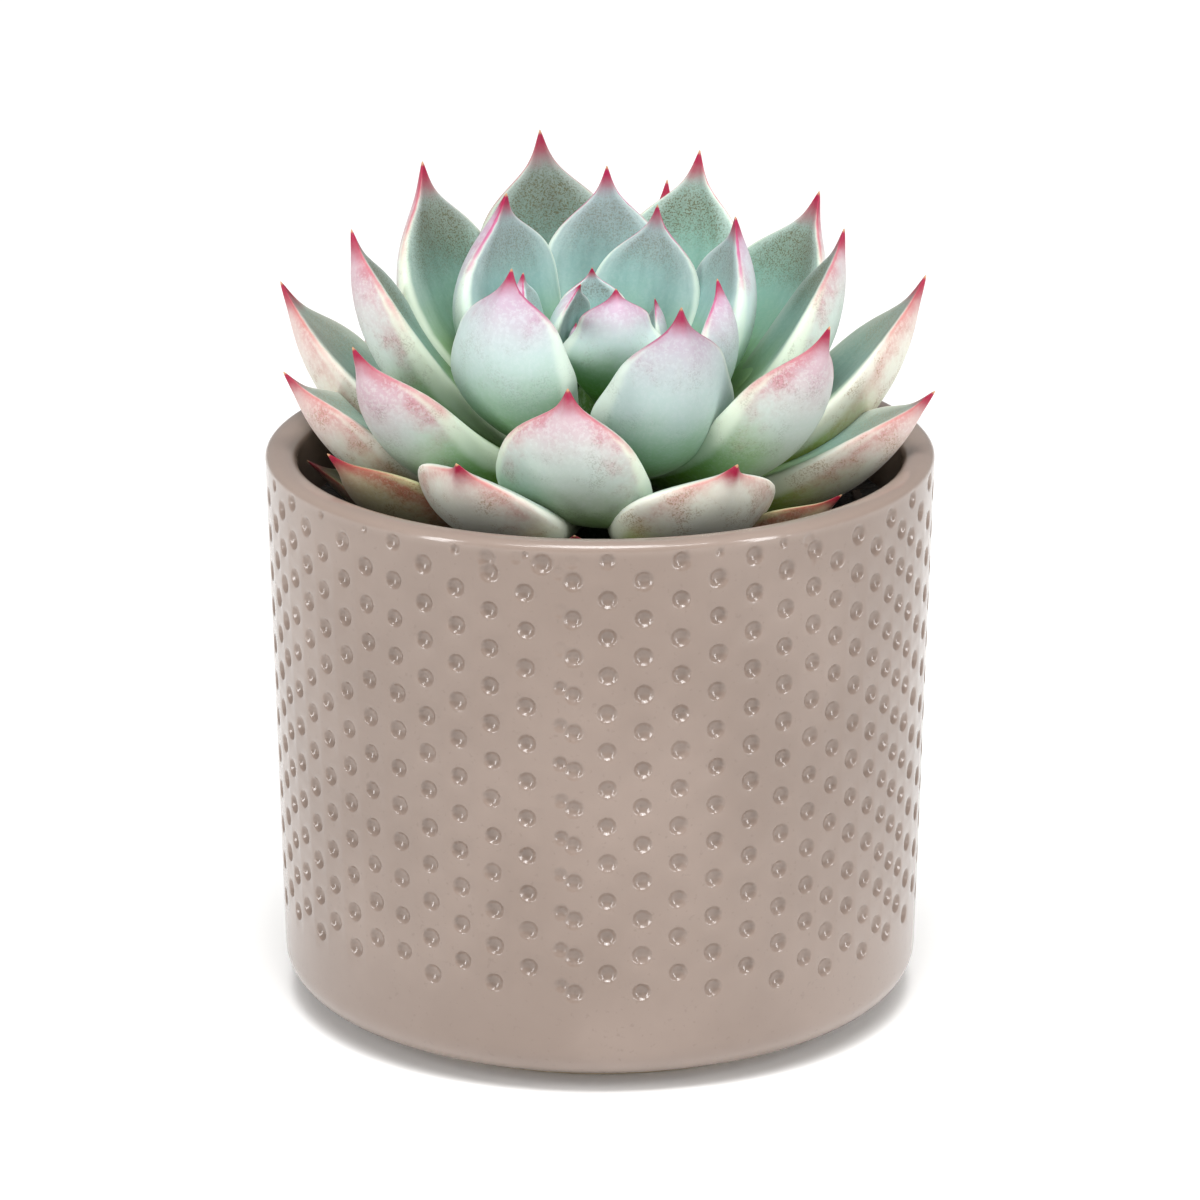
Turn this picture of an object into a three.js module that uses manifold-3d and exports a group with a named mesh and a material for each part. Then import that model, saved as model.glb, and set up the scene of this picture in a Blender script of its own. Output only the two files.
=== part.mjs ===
import * as THREE from "three";
import { mergeVertices } from "three/addons/utils/BufferGeometryUtils.js";
import Module from "manifold-3d";

const wasm = await Module();
wasm.setup();

// A rosette succulent with thick pointed leaves, standing in a glazed ceramic pot with pressed dimples.
// Millimetres and degrees. +Z is up, the origin is under the middle of the pot, and the front is -Y.

// Pot: a round wall that opens a little towards the rim, with a rolled lip and a turned foot ring.
const potHeight = 120;
const rimRadius = 70;
const bodyFootRadius = 67;
const lipWidth = 6.8;
const lipDrop = 3.2;
const lipShoulderInset = 0.9;
const lipShoulderDrop = 1;
const filletRadius = 7.5;
const filletSteps = 2;
const footOuterRadius = 55;
const footInnerRadius = 49;
const footHeight = 3.4;
const footTaper = 1;
const floorHeight = 9;
const floorCorner = 5;
const innerFootRadius = 60.5;

// Dimples: upright columns, every other one half a pitch higher, each dimple a pit with six corners.
// The wall between dimples is joined by corner number, so the count of corners stays as it is.
const dimpleColumns = 58;
const dimplesInColumn = 12;
const dimplePitch = 8.07;
const lowestDimple = 23.4;
const dimpleCorners = 6;
const dimpleRadius = 2;
const dimpleDepth = 0.9;
const firstDimpleTurn = -95.5;
const fieldMargin = 3.4;

// Soil: a plug that fills the pot, lumpy on top and a little higher by the wall, with a hole for the stem.
const soilHeight = 96;
const soilEdgeRise = 9;
const soilLump = 1.3;
const soilLumpSpacing = { x: 20, y: 23 };
const soilSwellSpacing = { x: 48, y: 31 };
const soilSides = 29;
const soilRings = [0.36, 0.52, 0.68, 0.84];

// Pieces that touch in the real plant stand this far apart here.
const gap = 0.35;

// Stem, and the bud of young leaves fused to its top. The leaves step round it by the golden turn, each
// a little wider, further out and lower than the one before.
const stemFoot = 90;
const stemTop = 139;
const stemFootRadius = 12;
const stemTopRadius = 3.2;
const stemSides = 12;
const budLeaves = 5;
const goldenTurn = 137.5;
const firstBudLeaf = { reach: 2.2, rise: 9.5, width: 5.5 };
const budLeafStep = { reach: 0.7, rise: -0.5, width: 0.6 };
const budLeafRoot = { from: 1, below: 4 };

const colours = {
  glaze: 0xa89789,
  soil: 0x1d1713,
  stem: 0x8f9a6a,
  outerLeaf: 0xb4bd9c,
  middleLeaf: 0xb5ccbf,
  innerLeaf: 0xbfd3cb,
  bud: 0xc9d2cc,
};

// Rings of leaves from the soil up. A ring says how high on the stem its leaves start, and as shares of the
// leaf's length or width how far the midrib bows below the straight line from base to tip, how thick the
// leaf is, and how far its edges are cupped above the midrib. Stand-off is how far the midrib starts from
// the stem, as a share of the root's thickness. Small leaves have fewer corners.
const rings = {
  low: { at: 102, standOff: 1, bow: 0.1, thick: 0.3, cup: 0.08, colour: "outerLeaf", small: true },
  outer: { at: 109, standOff: 1, bow: 0.16, thick: 0.34, cup: 0.12, colour: "outerLeaf" },
  middle: { at: 115, standOff: 1, bow: 0.16, thick: 0.34, cup: 0.12, colour: "middleLeaf" },
  inner: { at: 122, standOff: 0.3, bow: 0.19, thick: 0.34, cup: 0.1, colour: "innerLeaf" },
  heart: { at: 131, standOff: 0.35, bow: 0.14, thick: 0.36, cup: 0.1, colour: "bud", small: true },
};

// Every large leaf by the turn of its midrib round the stem, the reach and height of its tip, and its width.
// Some are also rolled about the midrib by some degrees, or sway to one side at the middle by some
// millimetres, and some start higher or lower, bow or cup differently from the rest of their ring.
const leaves = [
  { ring: "low", turn: 180, reach: 61.5, height: 116.5, width: 20 },
  { ring: "low", turn: 205.5, reach: 62, height: 126, width: 25 },
  { ring: "low", turn: 265, reach: 59, height: 118.5, width: 26 },
  { ring: "low", turn: 324, reach: 61, height: 120, width: 22 },
  { ring: "low", turn: 30, reach: 59, height: 119, width: 24 },
  { ring: "low", turn: 92, reach: 59, height: 120, width: 24 },
  { ring: "low", turn: 148, reach: 60, height: 119, width: 24 },
  { ring: "outer", turn: 162, reach: 71, height: 149.5, width: 29, cup: 0.2, bow: 0.15 },
  { ring: "outer", turn: 185, reach: 66, height: 137.5, width: 28, cup: 0.19, bow: 0.13 },
  { ring: "outer", turn: 241, reach: 59.5, height: 131.5, width: 33, sway: -3.5, bow: 0.14 },
  { ring: "outer", turn: 298.5, reach: 58, height: 131, width: 34, roll: -8, bow: 0.16 },
  { ring: "outer", turn: 353.5, reach: 70, height: 134, width: 28, cup: 0.19, bow: 0.13 },
  { ring: "outer", turn: 16, reach: 71.5, height: 151.5, width: 30, cup: 0.2, bow: 0.16 },
  { ring: "outer", turn: 49, reach: 67, height: 146, width: 28 },
  { ring: "outer", turn: 77.5, reach: 67.5, height: 160.5, width: 27 },
  { ring: "outer", turn: 112, reach: 67, height: 145, width: 28 },
  { ring: "outer", turn: 139, reach: 68, height: 144, width: 27 },
  { ring: "middle", turn: 173.5, reach: 52, height: 165, width: 29, cup: 0.17, bow: 0.14 },
  { ring: "middle", turn: 205.5, reach: 56, height: 148, width: 31, roll: 10 },
  { ring: "middle", turn: 262, reach: 46.5, height: 145.5, width: 33, bow: 0.2, cup: 0.07 },
  { ring: "middle", turn: 329, reach: 54.5, height: 153.5, width: 31, roll: -10 },
  { ring: "middle", turn: 15.5, reach: 53, height: 163, width: 29, cup: 0.16 },
  { ring: "middle", turn: 40.5, reach: 61.5, height: 164.5, width: 34, cup: 0.17 },
  { ring: "middle", turn: 69, reach: 60, height: 169.5, width: 32, cup: 0.16 },
  { ring: "middle", turn: 103, reach: 57.5, height: 174, width: 34 },
  { ring: "middle", turn: 132, reach: 56.5, height: 170.5, width: 30, sway: 3 },
  { ring: "inner", turn: 88, reach: 42, height: 169.5, width: 28 },
  { ring: "inner", turn: 131.5, reach: 29.5, height: 168.5, width: 30, sway: 3 },
  { ring: "inner", turn: 66.5, reach: 30.5, height: 164.5, width: 25, sway: 1.5 },
  { ring: "inner", turn: 29.5, reach: 32.5, height: 165, width: 25.5, sway: 1 },
  { ring: "inner", turn: 350, reach: 24.5, height: 157, width: 23 },
  { ring: "inner", turn: 296, reach: 37.5, height: 159, width: 32.5, at: 118 },
  { ring: "inner", turn: 235.5, reach: 31.5, height: 165, width: 31, sway: -3.5 },
  { ring: "heart", turn: 172.5, reach: 16, height: 156.5, width: 14 },
  { ring: "heart", turn: 98, reach: 12, height: 155, width: 14 },
  { ring: "heart", turn: 150, reach: 4.5, height: 154, width: 14 },
  { ring: "heart", turn: 283, reach: 14.5, height: 157.5, width: 21 },
  { ring: "heart", turn: 10, reach: 11.5, height: 151, width: 11 },
];

// Half-width of a blade along its length, 0 at the base and 1 at the tip, as shares of its full half-width,
// with the thickness beside it as shares of the full thickness.
const broadStations = [
  { along: 0, width: 0.24, thick: 0.36 },
  { along: 0.2, width: 0.5, thick: 0.7 },
  { along: 0.4, width: 0.85, thick: 0.97 },
  { along: 0.62, width: 1, thick: 0.96 },
  { along: 0.78, width: 0.81, thick: 0.74 },
  { along: 0.86, width: 0.46, thick: 0.5 },
  { along: 0.92, width: 0.15, thick: 0.26 },
];
const smallStations = [
  { along: 0, width: 0.24, thick: 0.36 },
  { along: 0.32, width: 0.74, thick: 0.9 },
  { along: 0.62, width: 1, thick: 0.96 },
  { along: 0.8, width: 0.72, thick: 0.7 },
  { along: 0.91, width: 0.18, thick: 0.3 },
];

// One turn round a blade: across is -1 to 1 from edge to edge, below is the share of the thickness under the
// upper face. The upper face stands above the midrib curve by the rise.
const upperFaceRise = 0.35;
const broadRing = [
  { across: 1, below: 0.2 },
  { across: 0.5, below: 0 },
  { across: 0, below: 0 },
  { across: -0.5, below: 0 },
  { across: -1, below: 0.2 },
  { across: -0.66, below: 0.72 },
  { across: 0, below: 1 },
  { across: 0.66, below: 0.72 },
];
const smallRing = [
  { across: 1, below: 0.2 },
  { across: 0.4, below: 0 },
  { across: -0.4, below: 0 },
  { across: -1, below: 0.2 },
  { across: -0.5, below: 0.9 },
  { across: 0.5, below: 0.9 },
];

function radians(degrees) {
  return THREE.MathUtils.degToRad(degrees);
}

// A closed solid from a list of points and a list of triangles.
function solidFrom(points, triangles) {
  return new wasm.Manifold(
    new wasm.Mesh({
      numProp: 3,
      vertProperties: new Float32Array(points.flatMap((point) => [point.x, point.y, point.z])),
      triVerts: new Uint32Array(triangles.flat()),
    }),
  );
}

function solidFromGeometry(geometry) {
  geometry.deleteAttribute("normal");
  geometry.deleteAttribute("uv");
  const merged = mergeVertices(geometry, 1e-4);
  return new wasm.Manifold(
    new wasm.Mesh({
      numProp: 3,
      vertProperties: new Float32Array(merged.attributes.position.array),
      triVerts: new Uint32Array(merged.index.array),
    }),
  );
}

function geometryFrom(solid) {
  const mesh = solid.getMesh();
  const geometry = new THREE.BufferGeometry();
  geometry.setAttribute("position", new THREE.BufferAttribute(new Float32Array(mesh.vertProperties), 3));
  geometry.setIndex(new THREE.BufferAttribute(new Uint32Array(mesh.triVerts), 1));
  geometry.computeVertexNormals();
  return geometry;
}

function namedMesh(name, geometry, colour, roughness) {
  const material = new THREE.MeshStandardMaterial({ color: colour, roughness, metalness: 0 });
  const mesh = new THREE.Mesh(geometry, material);
  mesh.name = name;
  return mesh;
}

// The midrib of a leaf lies in an upright plane through the stem. It is a quadratic curve that starts just
// clear of the stem, sags below the straight line by the bow, and ends at the tip or a little beyond it.
function midribOf(leaf, extra) {
  const ring = rings[leaf.ring];
  const height = leaf.at ?? ring.at;
  const tip = new THREE.Vector2(leaf.reach, leaf.height);
  const curveFrom = (radius) => {
    const start = new THREE.Vector2(radius, height);
    const chord = tip.clone().sub(start);
    const sag = new THREE.Vector2(chord.y, -chord.x).multiplyScalar((leaf.bow ?? ring.bow) * 2);
    const middle = start.clone().add(tip).multiplyScalar(0.5).add(sag);
    const beyond = tip.clone().sub(middle).normalize().multiplyScalar(extra);
    return new THREE.QuadraticBezierCurve(start, middle, tip.clone().add(beyond));
  };
  if (leaf.from !== undefined) {
    return curveFrom(leaf.from);
  }
  const atStem = stemRadius(height) + gap;
  const rootThickness = leaf.width * ring.thick * broadStations[0].thick;
  return curveFrom(atStem + ring.standOff * rootThickness * curveFrom(atStem).getTangent(0).y);
}

// A leaf as a closed solid. Swell makes it thicker all round, for cutting its neighbours clear of it.
function leafSolid(leaf, swell = 0) {
  const ring = rings[leaf.ring];
  const midrib = midribOf(leaf, swell);
  const outward = new THREE.Vector3(Math.cos(radians(leaf.turn)), Math.sin(radians(leaf.turn)), 0);
  const sideways = new THREE.Vector3(-outward.y, outward.x, 0);
  const up = new THREE.Vector3(0, 0, 1);
  const thickness = leaf.width * ring.thick;
  const cup = leaf.width * (leaf.cup ?? ring.cup);
  const bladeStations = ring.small ? smallStations : broadStations;
  const bladeRing = ring.small ? smallRing : broadRing;
  const points = [];
  for (const station of bladeStations) {
    const place = midrib.getPoint(station.along);
    const heading = midrib.getTangent(station.along);
    const centre = outward.clone().multiplyScalar(place.x).addScaledVector(up, place.y);
    centre.addScaledVector(sideways, (leaf.sway ?? 0) * Math.sin(Math.PI * station.along));
    const forward = outward.clone().multiplyScalar(heading.x).addScaledVector(up, heading.y);
    const face = outward.clone().multiplyScalar(-heading.y).addScaledVector(up, heading.x);
    const across = sideways.clone().applyAxisAngle(forward, radians(leaf.roll ?? 0));
    face.applyAxisAngle(forward, radians(leaf.roll ?? 0));
    const halfWidth = (leaf.width / 2) * station.width + swell;
    const depth = thickness * station.thick + 2 * swell;
    for (const corner of bladeRing) {
      const lift = swell - corner.below * depth + cup * station.width * corner.across ** 2;
      const point = centre.clone().addScaledVector(across, corner.across * halfWidth);
      points.push(point.addScaledVector(face, lift + thickness * upperFaceRise * station.thick));
    }
  }
  const end = midrib.getPoint(1);
  const tip = outward.clone().multiplyScalar(end.x).addScaledVector(up, end.y);
  const base = new THREE.Vector3();
  for (let corner = 0; corner < bladeRing.length; corner += 1) {
    base.addScaledVector(points[corner], 1 / bladeRing.length);
  }
  const tipIndex = points.push(tip) - 1;
  const baseIndex = points.push(base) - 1;
  return solidFrom(points, bladeTriangles(bladeStations.length, bladeRing.length, baseIndex, tipIndex));
}

function bladeTriangles(stationCount, sides, baseIndex, tipIndex) {
  const triangles = [];
  for (let station = 0; station < stationCount - 1; station += 1) {
    for (let side = 0; side < sides; side += 1) {
      const near = station * sides + side;
      const next = station * sides + ((side + 1) % sides);
      triangles.push([near, next, near + sides]);
      triangles.push([next, next + sides, near + sides]);
    }
  }
  const last = (stationCount - 1) * sides;
  for (let side = 0; side < sides; side += 1) {
    const next = (side + 1) % sides;
    triangles.push([baseIndex, next, side]);
    triangles.push([last + side, last + next, tipIndex]);
  }
  return triangles;
}

// The pot's wall is a sheet of points wrapped round the axis. Each dimple is a ring of corners on the wall
// with one point pressed in at its middle, and the wall between is filled from ring to ring.
function potGeometry() {
  const points = [];
  const triangles = [];
  const columnTurn = 360 / dimpleColumns;
  const wallRadius = (height) => bodyFootRadius + ((rimRadius - bodyFootRadius) * height) / potHeight;

  function pointAt(turn, radius, height) {
    const angle = radians(turn);
    return points.push(new THREE.Vector3(radius * Math.cos(angle), radius * Math.sin(angle), height)) - 1;
  }

  function ringAt(radius, height) {
    return Array.from({ length: dimpleColumns }, (_, column) => {
      return pointAt(firstDimpleTurn + column * columnTurn, radius, height);
    });
  }

  // Two rings of points joined all round, the lower one first on the outside of the pot.
  function joinRings(lower, upper) {
    for (let column = 0; column < dimpleColumns; column += 1) {
      const next = (column + 1) % dimpleColumns;
      triangles.push([lower[column], lower[next], upper[column]]);
      triangles.push([lower[next], upper[next], upper[column]]);
    }
  }

  // Raised columns stand half a pitch higher and hold one dimple fewer.
  const isRaised = (column) => column % 2 === 1;
  const columns = Array.from({ length: dimpleColumns }, (_, column) => {
    const count = isRaised(column) ? dimplesInColumn - 1 : dimplesInColumn;
    return Array.from({ length: count }, (_, row) => {
      const height = lowestDimple + (row + (isRaised(column) ? 0.5 : 0)) * dimplePitch;
      const turn = firstDimpleTurn + column * columnTurn;
      const corners = Array.from({ length: dimpleCorners }, (_, corner) => {
        const angle = radians((corner * 360) / dimpleCorners);
        const cornerHeight = height + dimpleRadius * Math.sin(angle);
        const radius = wallRadius(cornerHeight);
        const sideTurn = THREE.MathUtils.radToDeg((dimpleRadius * Math.cos(angle)) / radius);
        return pointAt(turn + sideTurn, radius, cornerHeight);
      });
      const middle = pointAt(turn, wallRadius(height) - dimpleDepth, height);
      for (let corner = 0; corner < dimpleCorners; corner += 1) {
        triangles.push([middle, corners[corner], corners[(corner + 1) % dimpleCorners]]);
      }
      return corners;
    });
  });

  // Flat wall between each dimple and the one above it, and the two in the next column.
  columns.forEach((dimples, column) => {
    const neighbours = columns[(column + 1) % dimpleColumns];
    const step = isRaised(column) ? 1 : 0;
    dimples.forEach((ring, row) => {
      const above = dimples[row + 1];
      const upper = neighbours[row + step];
      const lower = neighbours[row + step - 1];
      if (above) {
        triangles.push([ring[2], ring[1], above[5]]);
        triangles.push([ring[2], above[5], above[4]]);
      }
      if (upper) {
        triangles.push([ring[0], upper[4], upper[3]]);
        triangles.push([ring[0], upper[3], ring[1]]);
      }
      if (lower) {
        triangles.push([ring[5], lower[3], lower[2]]);
        triangles.push([ring[5], lower[2], ring[0]]);
      }
      if (above && upper) {
        triangles.push([ring[1], upper[3], above[5]]);
      }
      if (upper && lower) {
        triangles.push([ring[0], lower[2], upper[4]]);
      }
    });
  });

  // The field's lower and upper edge, two columns at a time, joined to plain rings of one point a column.
  const fieldFoot = lowestDimple - fieldMargin;
  const fieldTop = lowestDimple + (dimplesInColumn - 1) * dimplePitch + fieldMargin;
  const under = ringAt(wallRadius(fieldFoot), fieldFoot);
  const over = ringAt(wallRadius(fieldTop), fieldTop);
  for (let column = 0; column < dimpleColumns; column += 2) {
    const next = (column + 2) % dimpleColumns;
    const low = columns[column];
    const high = columns[column + 1];
    const bottom = [low[0][3], low[0][4], low[0][5], low[0][0], high[0][4], high[0][5], columns[next][0][3]];
    const lowTop = low.at(-1);
    const highTop = high.at(-1);
    const top = [lowTop[3], lowTop[2], lowTop[1], lowTop[0], highTop[2], highTop[1], columns[next].at(-1)[3]];
    const ends = [column, column, column, column + 1, column + 1, column + 1, next];
    for (let step = 0; step < ends.length - 1; step += 1) {
      triangles.push([under[ends[step]], bottom[step + 1], bottom[step]]);
      triangles.push([over[ends[step]], top[step], top[step + 1]]);
      if (ends[step] !== ends[step + 1]) {
        triangles.push([under[ends[step]], under[ends[step + 1]], bottom[step + 1]]);
        triangles.push([over[ends[step]], top[step + 1], over[ends[step + 1]]]);
      }
    }
  }

  // Below the field: the wall runs into a round fillet, then under the body to the foot ring.
  const filletCentre = new THREE.Vector2(bodyFootRadius - filletRadius, footHeight + filletRadius);
  const underProfile = [];
  for (let step = 0; step <= filletSteps; step += 1) {
    const angle = radians((90 * step) / filletSteps);
    underProfile.push([
      filletCentre.x + filletRadius * Math.cos(angle),
      filletCentre.y - filletRadius * Math.sin(angle),
    ]);
  }
  underProfile.push([footOuterRadius, footHeight], [footOuterRadius - footTaper, 0], [footInnerRadius, 0]);
  underProfile.push([footInnerRadius - footTaper, footHeight]);
  let lowest = under;
  for (const [radius, height] of underProfile) {
    const ring = ringAt(radius, height);
    joinRings(ring, lowest);
    lowest = ring;
  }

  // Above the field: the rolled lip, then down the inner wall to the floor.
  const lipMiddle = rimRadius - lipWidth / 2;
  const overProfile = [
    [wallRadius(potHeight - lipDrop), potHeight - lipDrop],
    [rimRadius - lipShoulderInset, potHeight - lipShoulderDrop],
    [lipMiddle, potHeight],
    [rimRadius - lipWidth + lipShoulderInset, potHeight - lipShoulderDrop],
    [rimRadius - lipWidth, potHeight - lipDrop],
    [innerFootRadius, floorHeight + floorCorner],
    [innerFootRadius - floorCorner, floorHeight],
  ];
  let highest = over;
  for (const [radius, height] of overProfile) {
    const ring = ringAt(radius, height);
    joinRings(highest, ring);
    highest = ring;
  }

  // Close the underside and the floor.
  const underMiddle = pointAt(0, 0, footHeight);
  const floorMiddle = pointAt(0, 0, floorHeight);
  for (let column = 0; column < dimpleColumns; column += 1) {
    const next = (column + 1) % dimpleColumns;
    triangles.push([underMiddle, lowest[next], lowest[column]]);
    triangles.push([floorMiddle, highest[column], highest[next]]);
  }
  return geometryFrom(solidFrom(points, triangles));
}

// The inner radius of the pot at a height, for what fills it.
function innerRadius(height) {
  const foot = floorHeight + floorCorner;
  const share = (height - foot) / (potHeight - lipDrop - foot);
  return innerFootRadius + (rimRadius - lipWidth - innerFootRadius) * share;
}

function soilGeometry() {
  const holeRadius = stemRadius(soilHeight) + gap;
  const edgeRadius = innerRadius(soilHeight + soilEdgeRise) - 2 * gap;
  const topAt = (share) => new THREE.Vector2(edgeRadius * share, soilHeight + soilEdgeRise * share ** 2);
  const profile = [
    new THREE.Vector2(0, floorHeight + gap),
    new THREE.Vector2(innerFootRadius - floorCorner - 2 * gap, floorHeight + gap),
    new THREE.Vector2(innerFootRadius - 2 * gap, floorHeight + floorCorner),
    topAt(1),
    ...soilRings.toReversed().map(topAt),
    new THREE.Vector2(holeRadius, soilHeight),
    new THREE.Vector2(stemRadius(stemFoot) + gap, stemFoot - gap),
    new THREE.Vector2(0, stemFoot - gap),
  ];
  const geometry = new THREE.LatheGeometry(profile, soilSides);
  geometry.rotateX(Math.PI / 2);
  const position = geometry.attributes.position;
  const wholeTurn = 2 * Math.PI;
  const point = new THREE.Vector3();
  for (let index = 0; index < position.count; index += 1) {
    point.fromBufferAttribute(position, index);
    const radius = Math.hypot(point.x, point.y);
    if (point.z > soilHeight && radius < edgeRadius - gap) {
      const acrossLumps = (wholeTurn * point.x) / soilLumpSpacing.x;
      const alongLumps = (wholeTurn * point.y) / soilLumpSpacing.y;
      const lumps = Math.sin(acrossLumps) * Math.cos(alongLumps);
      const swells = Math.sin(wholeTurn * (point.x / soilSwellSpacing.x + point.y / soilSwellSpacing.y));
      position.setZ(index, point.z + soilLump * (lumps + swells));
    }
  }
  return geometryFrom(solidFromGeometry(geometry));
}

function stemRadius(height) {
  return stemFootRadius + ((stemTopRadius - stemFootRadius) * (height - stemFoot)) / (stemTop - stemFoot);
}

function stemSolid(swell = 0) {
  const profile = [
    new THREE.Vector2(0, stemFoot - swell),
    new THREE.Vector2(stemRadius(stemFoot) + swell, stemFoot - swell),
    new THREE.Vector2(stemTopRadius + swell, stemTop),
    new THREE.Vector2(0, stemTop + stemTopRadius + swell),
  ];
  const geometry = new THREE.LatheGeometry(profile, stemSides);
  geometry.rotateX(Math.PI / 2);
  return solidFromGeometry(geometry);
}

// The youngest leaves close over the stem's tip and are one piece with the stem.
function budSolid(swell = 0) {
  let bud = stemSolid(swell);
  for (let index = 0; index < budLeaves; index += 1) {
    const leaf = {
      ring: "heart",
      turn: index * goldenTurn,
      from: budLeafRoot.from,
      at: stemTop - budLeafRoot.below,
      reach: firstBudLeaf.reach + index * budLeafStep.reach,
      height: stemTop + firstBudLeaf.rise + index * budLeafStep.rise,
      width: firstBudLeaf.width + index * budLeafStep.width,
    };
    bud = bud.add(leafSolid(leaf, swell));
  }
  return bud;
}

function largestPiece(solid) {
  return solid.decompose().reduce((best, piece) => (piece.volume() > best.volume() ? piece : best));
}

const potted = new THREE.Group();
potted.add(namedMesh("pot", potGeometry(), colours.glaze, 0.35));
potted.add(namedMesh("soil", soilGeometry(), colours.soil, 0.95));
potted.add(namedMesh("stem_and_bud", geometryFrom(budSolid()), colours.stem, 0.6));

// From the youngest leaf outwards, each leaf is pressed clear of the bud and of the leaves inside it.
const inside = [{ plain: budSolid(), swollen: budSolid(gap) }];
const finished = [];
for (let index = leaves.length - 1; index >= 0; index -= 1) {
  const leaf = leaves[index];
  const plain = leafSolid(leaf);
  let solid = plain;
  for (const younger of inside) {
    if (plain.intersect(younger.plain).volume() > 0) {
      solid = solid.subtract(younger.swollen);
    }
  }
  inside.push({ plain, swollen: leafSolid(leaf, gap) });
  const name = `leaf_${leaf.ring}_${String(index + 1).padStart(2, "0")}`;
  const mesh = namedMesh(name, geometryFrom(largestPiece(solid)), colours[rings[leaf.ring].colour], 0.6);
  finished.unshift(mesh);
}
potted.add(...finished);

export default potted;
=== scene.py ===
import math
import random

import bmesh
import bpy
from mathutils import Matrix, Vector


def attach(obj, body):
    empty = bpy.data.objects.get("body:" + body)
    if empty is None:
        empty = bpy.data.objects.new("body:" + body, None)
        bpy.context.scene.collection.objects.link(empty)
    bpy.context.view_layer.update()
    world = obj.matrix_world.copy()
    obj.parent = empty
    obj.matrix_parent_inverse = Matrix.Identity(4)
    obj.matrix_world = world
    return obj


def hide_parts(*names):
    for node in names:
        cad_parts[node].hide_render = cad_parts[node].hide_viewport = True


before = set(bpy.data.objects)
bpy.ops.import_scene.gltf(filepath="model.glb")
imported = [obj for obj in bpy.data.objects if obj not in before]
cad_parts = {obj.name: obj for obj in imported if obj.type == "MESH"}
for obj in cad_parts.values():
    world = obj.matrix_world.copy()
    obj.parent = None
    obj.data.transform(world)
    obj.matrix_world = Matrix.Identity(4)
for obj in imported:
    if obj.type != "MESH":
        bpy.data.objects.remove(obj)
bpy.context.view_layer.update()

mm = 0.001
facingFront = (math.pi / 2, 0, 0)  # stands a flat new shape upright
random.seed(38)


# small helpers
def deselectAll():
    bpy.ops.object.select_all(action="DESELECT")


def makeActive(piece):
    deselectAll()
    piece.select_set(True)
    bpy.context.view_layer.objects.active = piece


def startEditing(piece):
    makeActive(piece)
    bpy.ops.object.mode_set(mode="EDIT")
    bpy.ops.mesh.select_all(action="DESELECT")
    return bmesh.from_edit_mesh(piece.data)


def stopEditing():
    bpy.ops.object.mode_set(mode="OBJECT")


def selectFaces(piece, wanted):
    bpy.ops.mesh.select_all(action="DESELECT")
    for face in bmesh.from_edit_mesh(piece.data).faces:
        if wanted(face):
            face.select_set(True)


def applyModifier(piece, kind, **settings):
    makeActive(piece)
    modifier = piece.modifiers.new(kind.lower(), kind)
    for key, value in settings.items():
        setattr(modifier, key, value)
    bpy.ops.object.modifier_apply(modifier=modifier.name)


def copyOf(piece, name):
    twin = piece.copy()
    twin.data = piece.data.copy()
    twin.name = name
    bpy.context.scene.collection.objects.link(twin)
    return twin


def joinAll(pieces, name):
    deselectAll()
    for piece in pieces:
        piece.select_set(True)
    bpy.context.view_layer.objects.active = pieces[0]
    bpy.ops.object.join()
    pieces[0].name = name
    return pieces[0]


def tidyMesh(piece, reach=0.00001):
    startEditing(piece)
    bpy.ops.mesh.select_all(action="SELECT")
    bpy.ops.mesh.remove_doubles(threshold=reach)
    bpy.ops.mesh.normals_make_consistent(inside=False)
    stopEditing()


def shadeSmooth(piece, angle=None):
    makeActive(piece)
    if angle is None:
        bpy.ops.object.shade_smooth()
    else:
        bpy.ops.object.shade_smooth_by_angle(angle=math.radians(angle))


def applyPlace(piece):
    makeActive(piece)
    bpy.ops.object.transform_apply(location=True, rotation=True, scale=True)


def addShape(add, **settings):
    # a primitive at its size and place, the only thing selected
    deselectAll()
    add(**settings)
    piece = bpy.context.active_object
    applyPlace(piece)
    return piece


def paint(piece, *materials):
    piece.data.materials.clear()
    for material in materials:
        piece.data.materials.append(material)


def markPoints(piece, name, values):
    # a number on each point, which the materials read
    piece.data.attributes.new(name, "FLOAT", "POINT").data.foreach_set("value", values)


def either(spread):
    # a random number from minus this to plus this
    return random.uniform(-1, 1) * spread


def shareAt(table, along, column):
    # straight line between the two stations beside this place
    for low, high in zip(table, table[1:]):
        if along <= high[0]:
            step = max(0.0, (along - low[0]) / (high[0] - low[0]))
            return low[column] + (high[column] - low[column]) * step
    return table[-1][column]


# material helpers
def newMaterial(name):
    # the material with its node tree and its Object coordinates
    material = bpy.data.materials.new(name)
    material.use_nodes = True
    tree = material.node_tree
    return material, tree, tree.nodes.new("ShaderNodeTexCoord").outputs["Object"]


def setInputs(tree, node, inputs):
    # a socket is linked, and a value is set
    for key, value in inputs.items():
        if isinstance(value, bpy.types.NodeSocket):
            tree.links.new(value, node.inputs[key])
        else:
            node.inputs[key].default_value = value


def addNode(tree, kind, inputs, **settings):
    node = tree.nodes.new(kind)
    for key, value in settings.items():
        setattr(node, key, value)
    setInputs(tree, node, inputs)
    return node


def colour(red, green, blue):
    # from the 0 to 255 numbers of a colour picker to the shader's own scale
    def straighten(value):
        share = value / 255
        return share / 12.92 if share <= 0.04045 else ((share + 0.055) / 1.055) ** 2.4
    return (straighten(red), straighten(green), straighten(blue), 1.0)


def finished(material, inputs):
    tree = material.node_tree
    setInputs(tree, tree.nodes["Principled BSDF"], inputs)
    return material


def mixColours(tree, share, low, high, blend="MIX"):
    settings = {"data_type": "RGBA", "blend_type": blend}
    return addNode(tree, "ShaderNodeMix", {0: share, 6: low, 7: high}, **settings).outputs[2]


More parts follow.
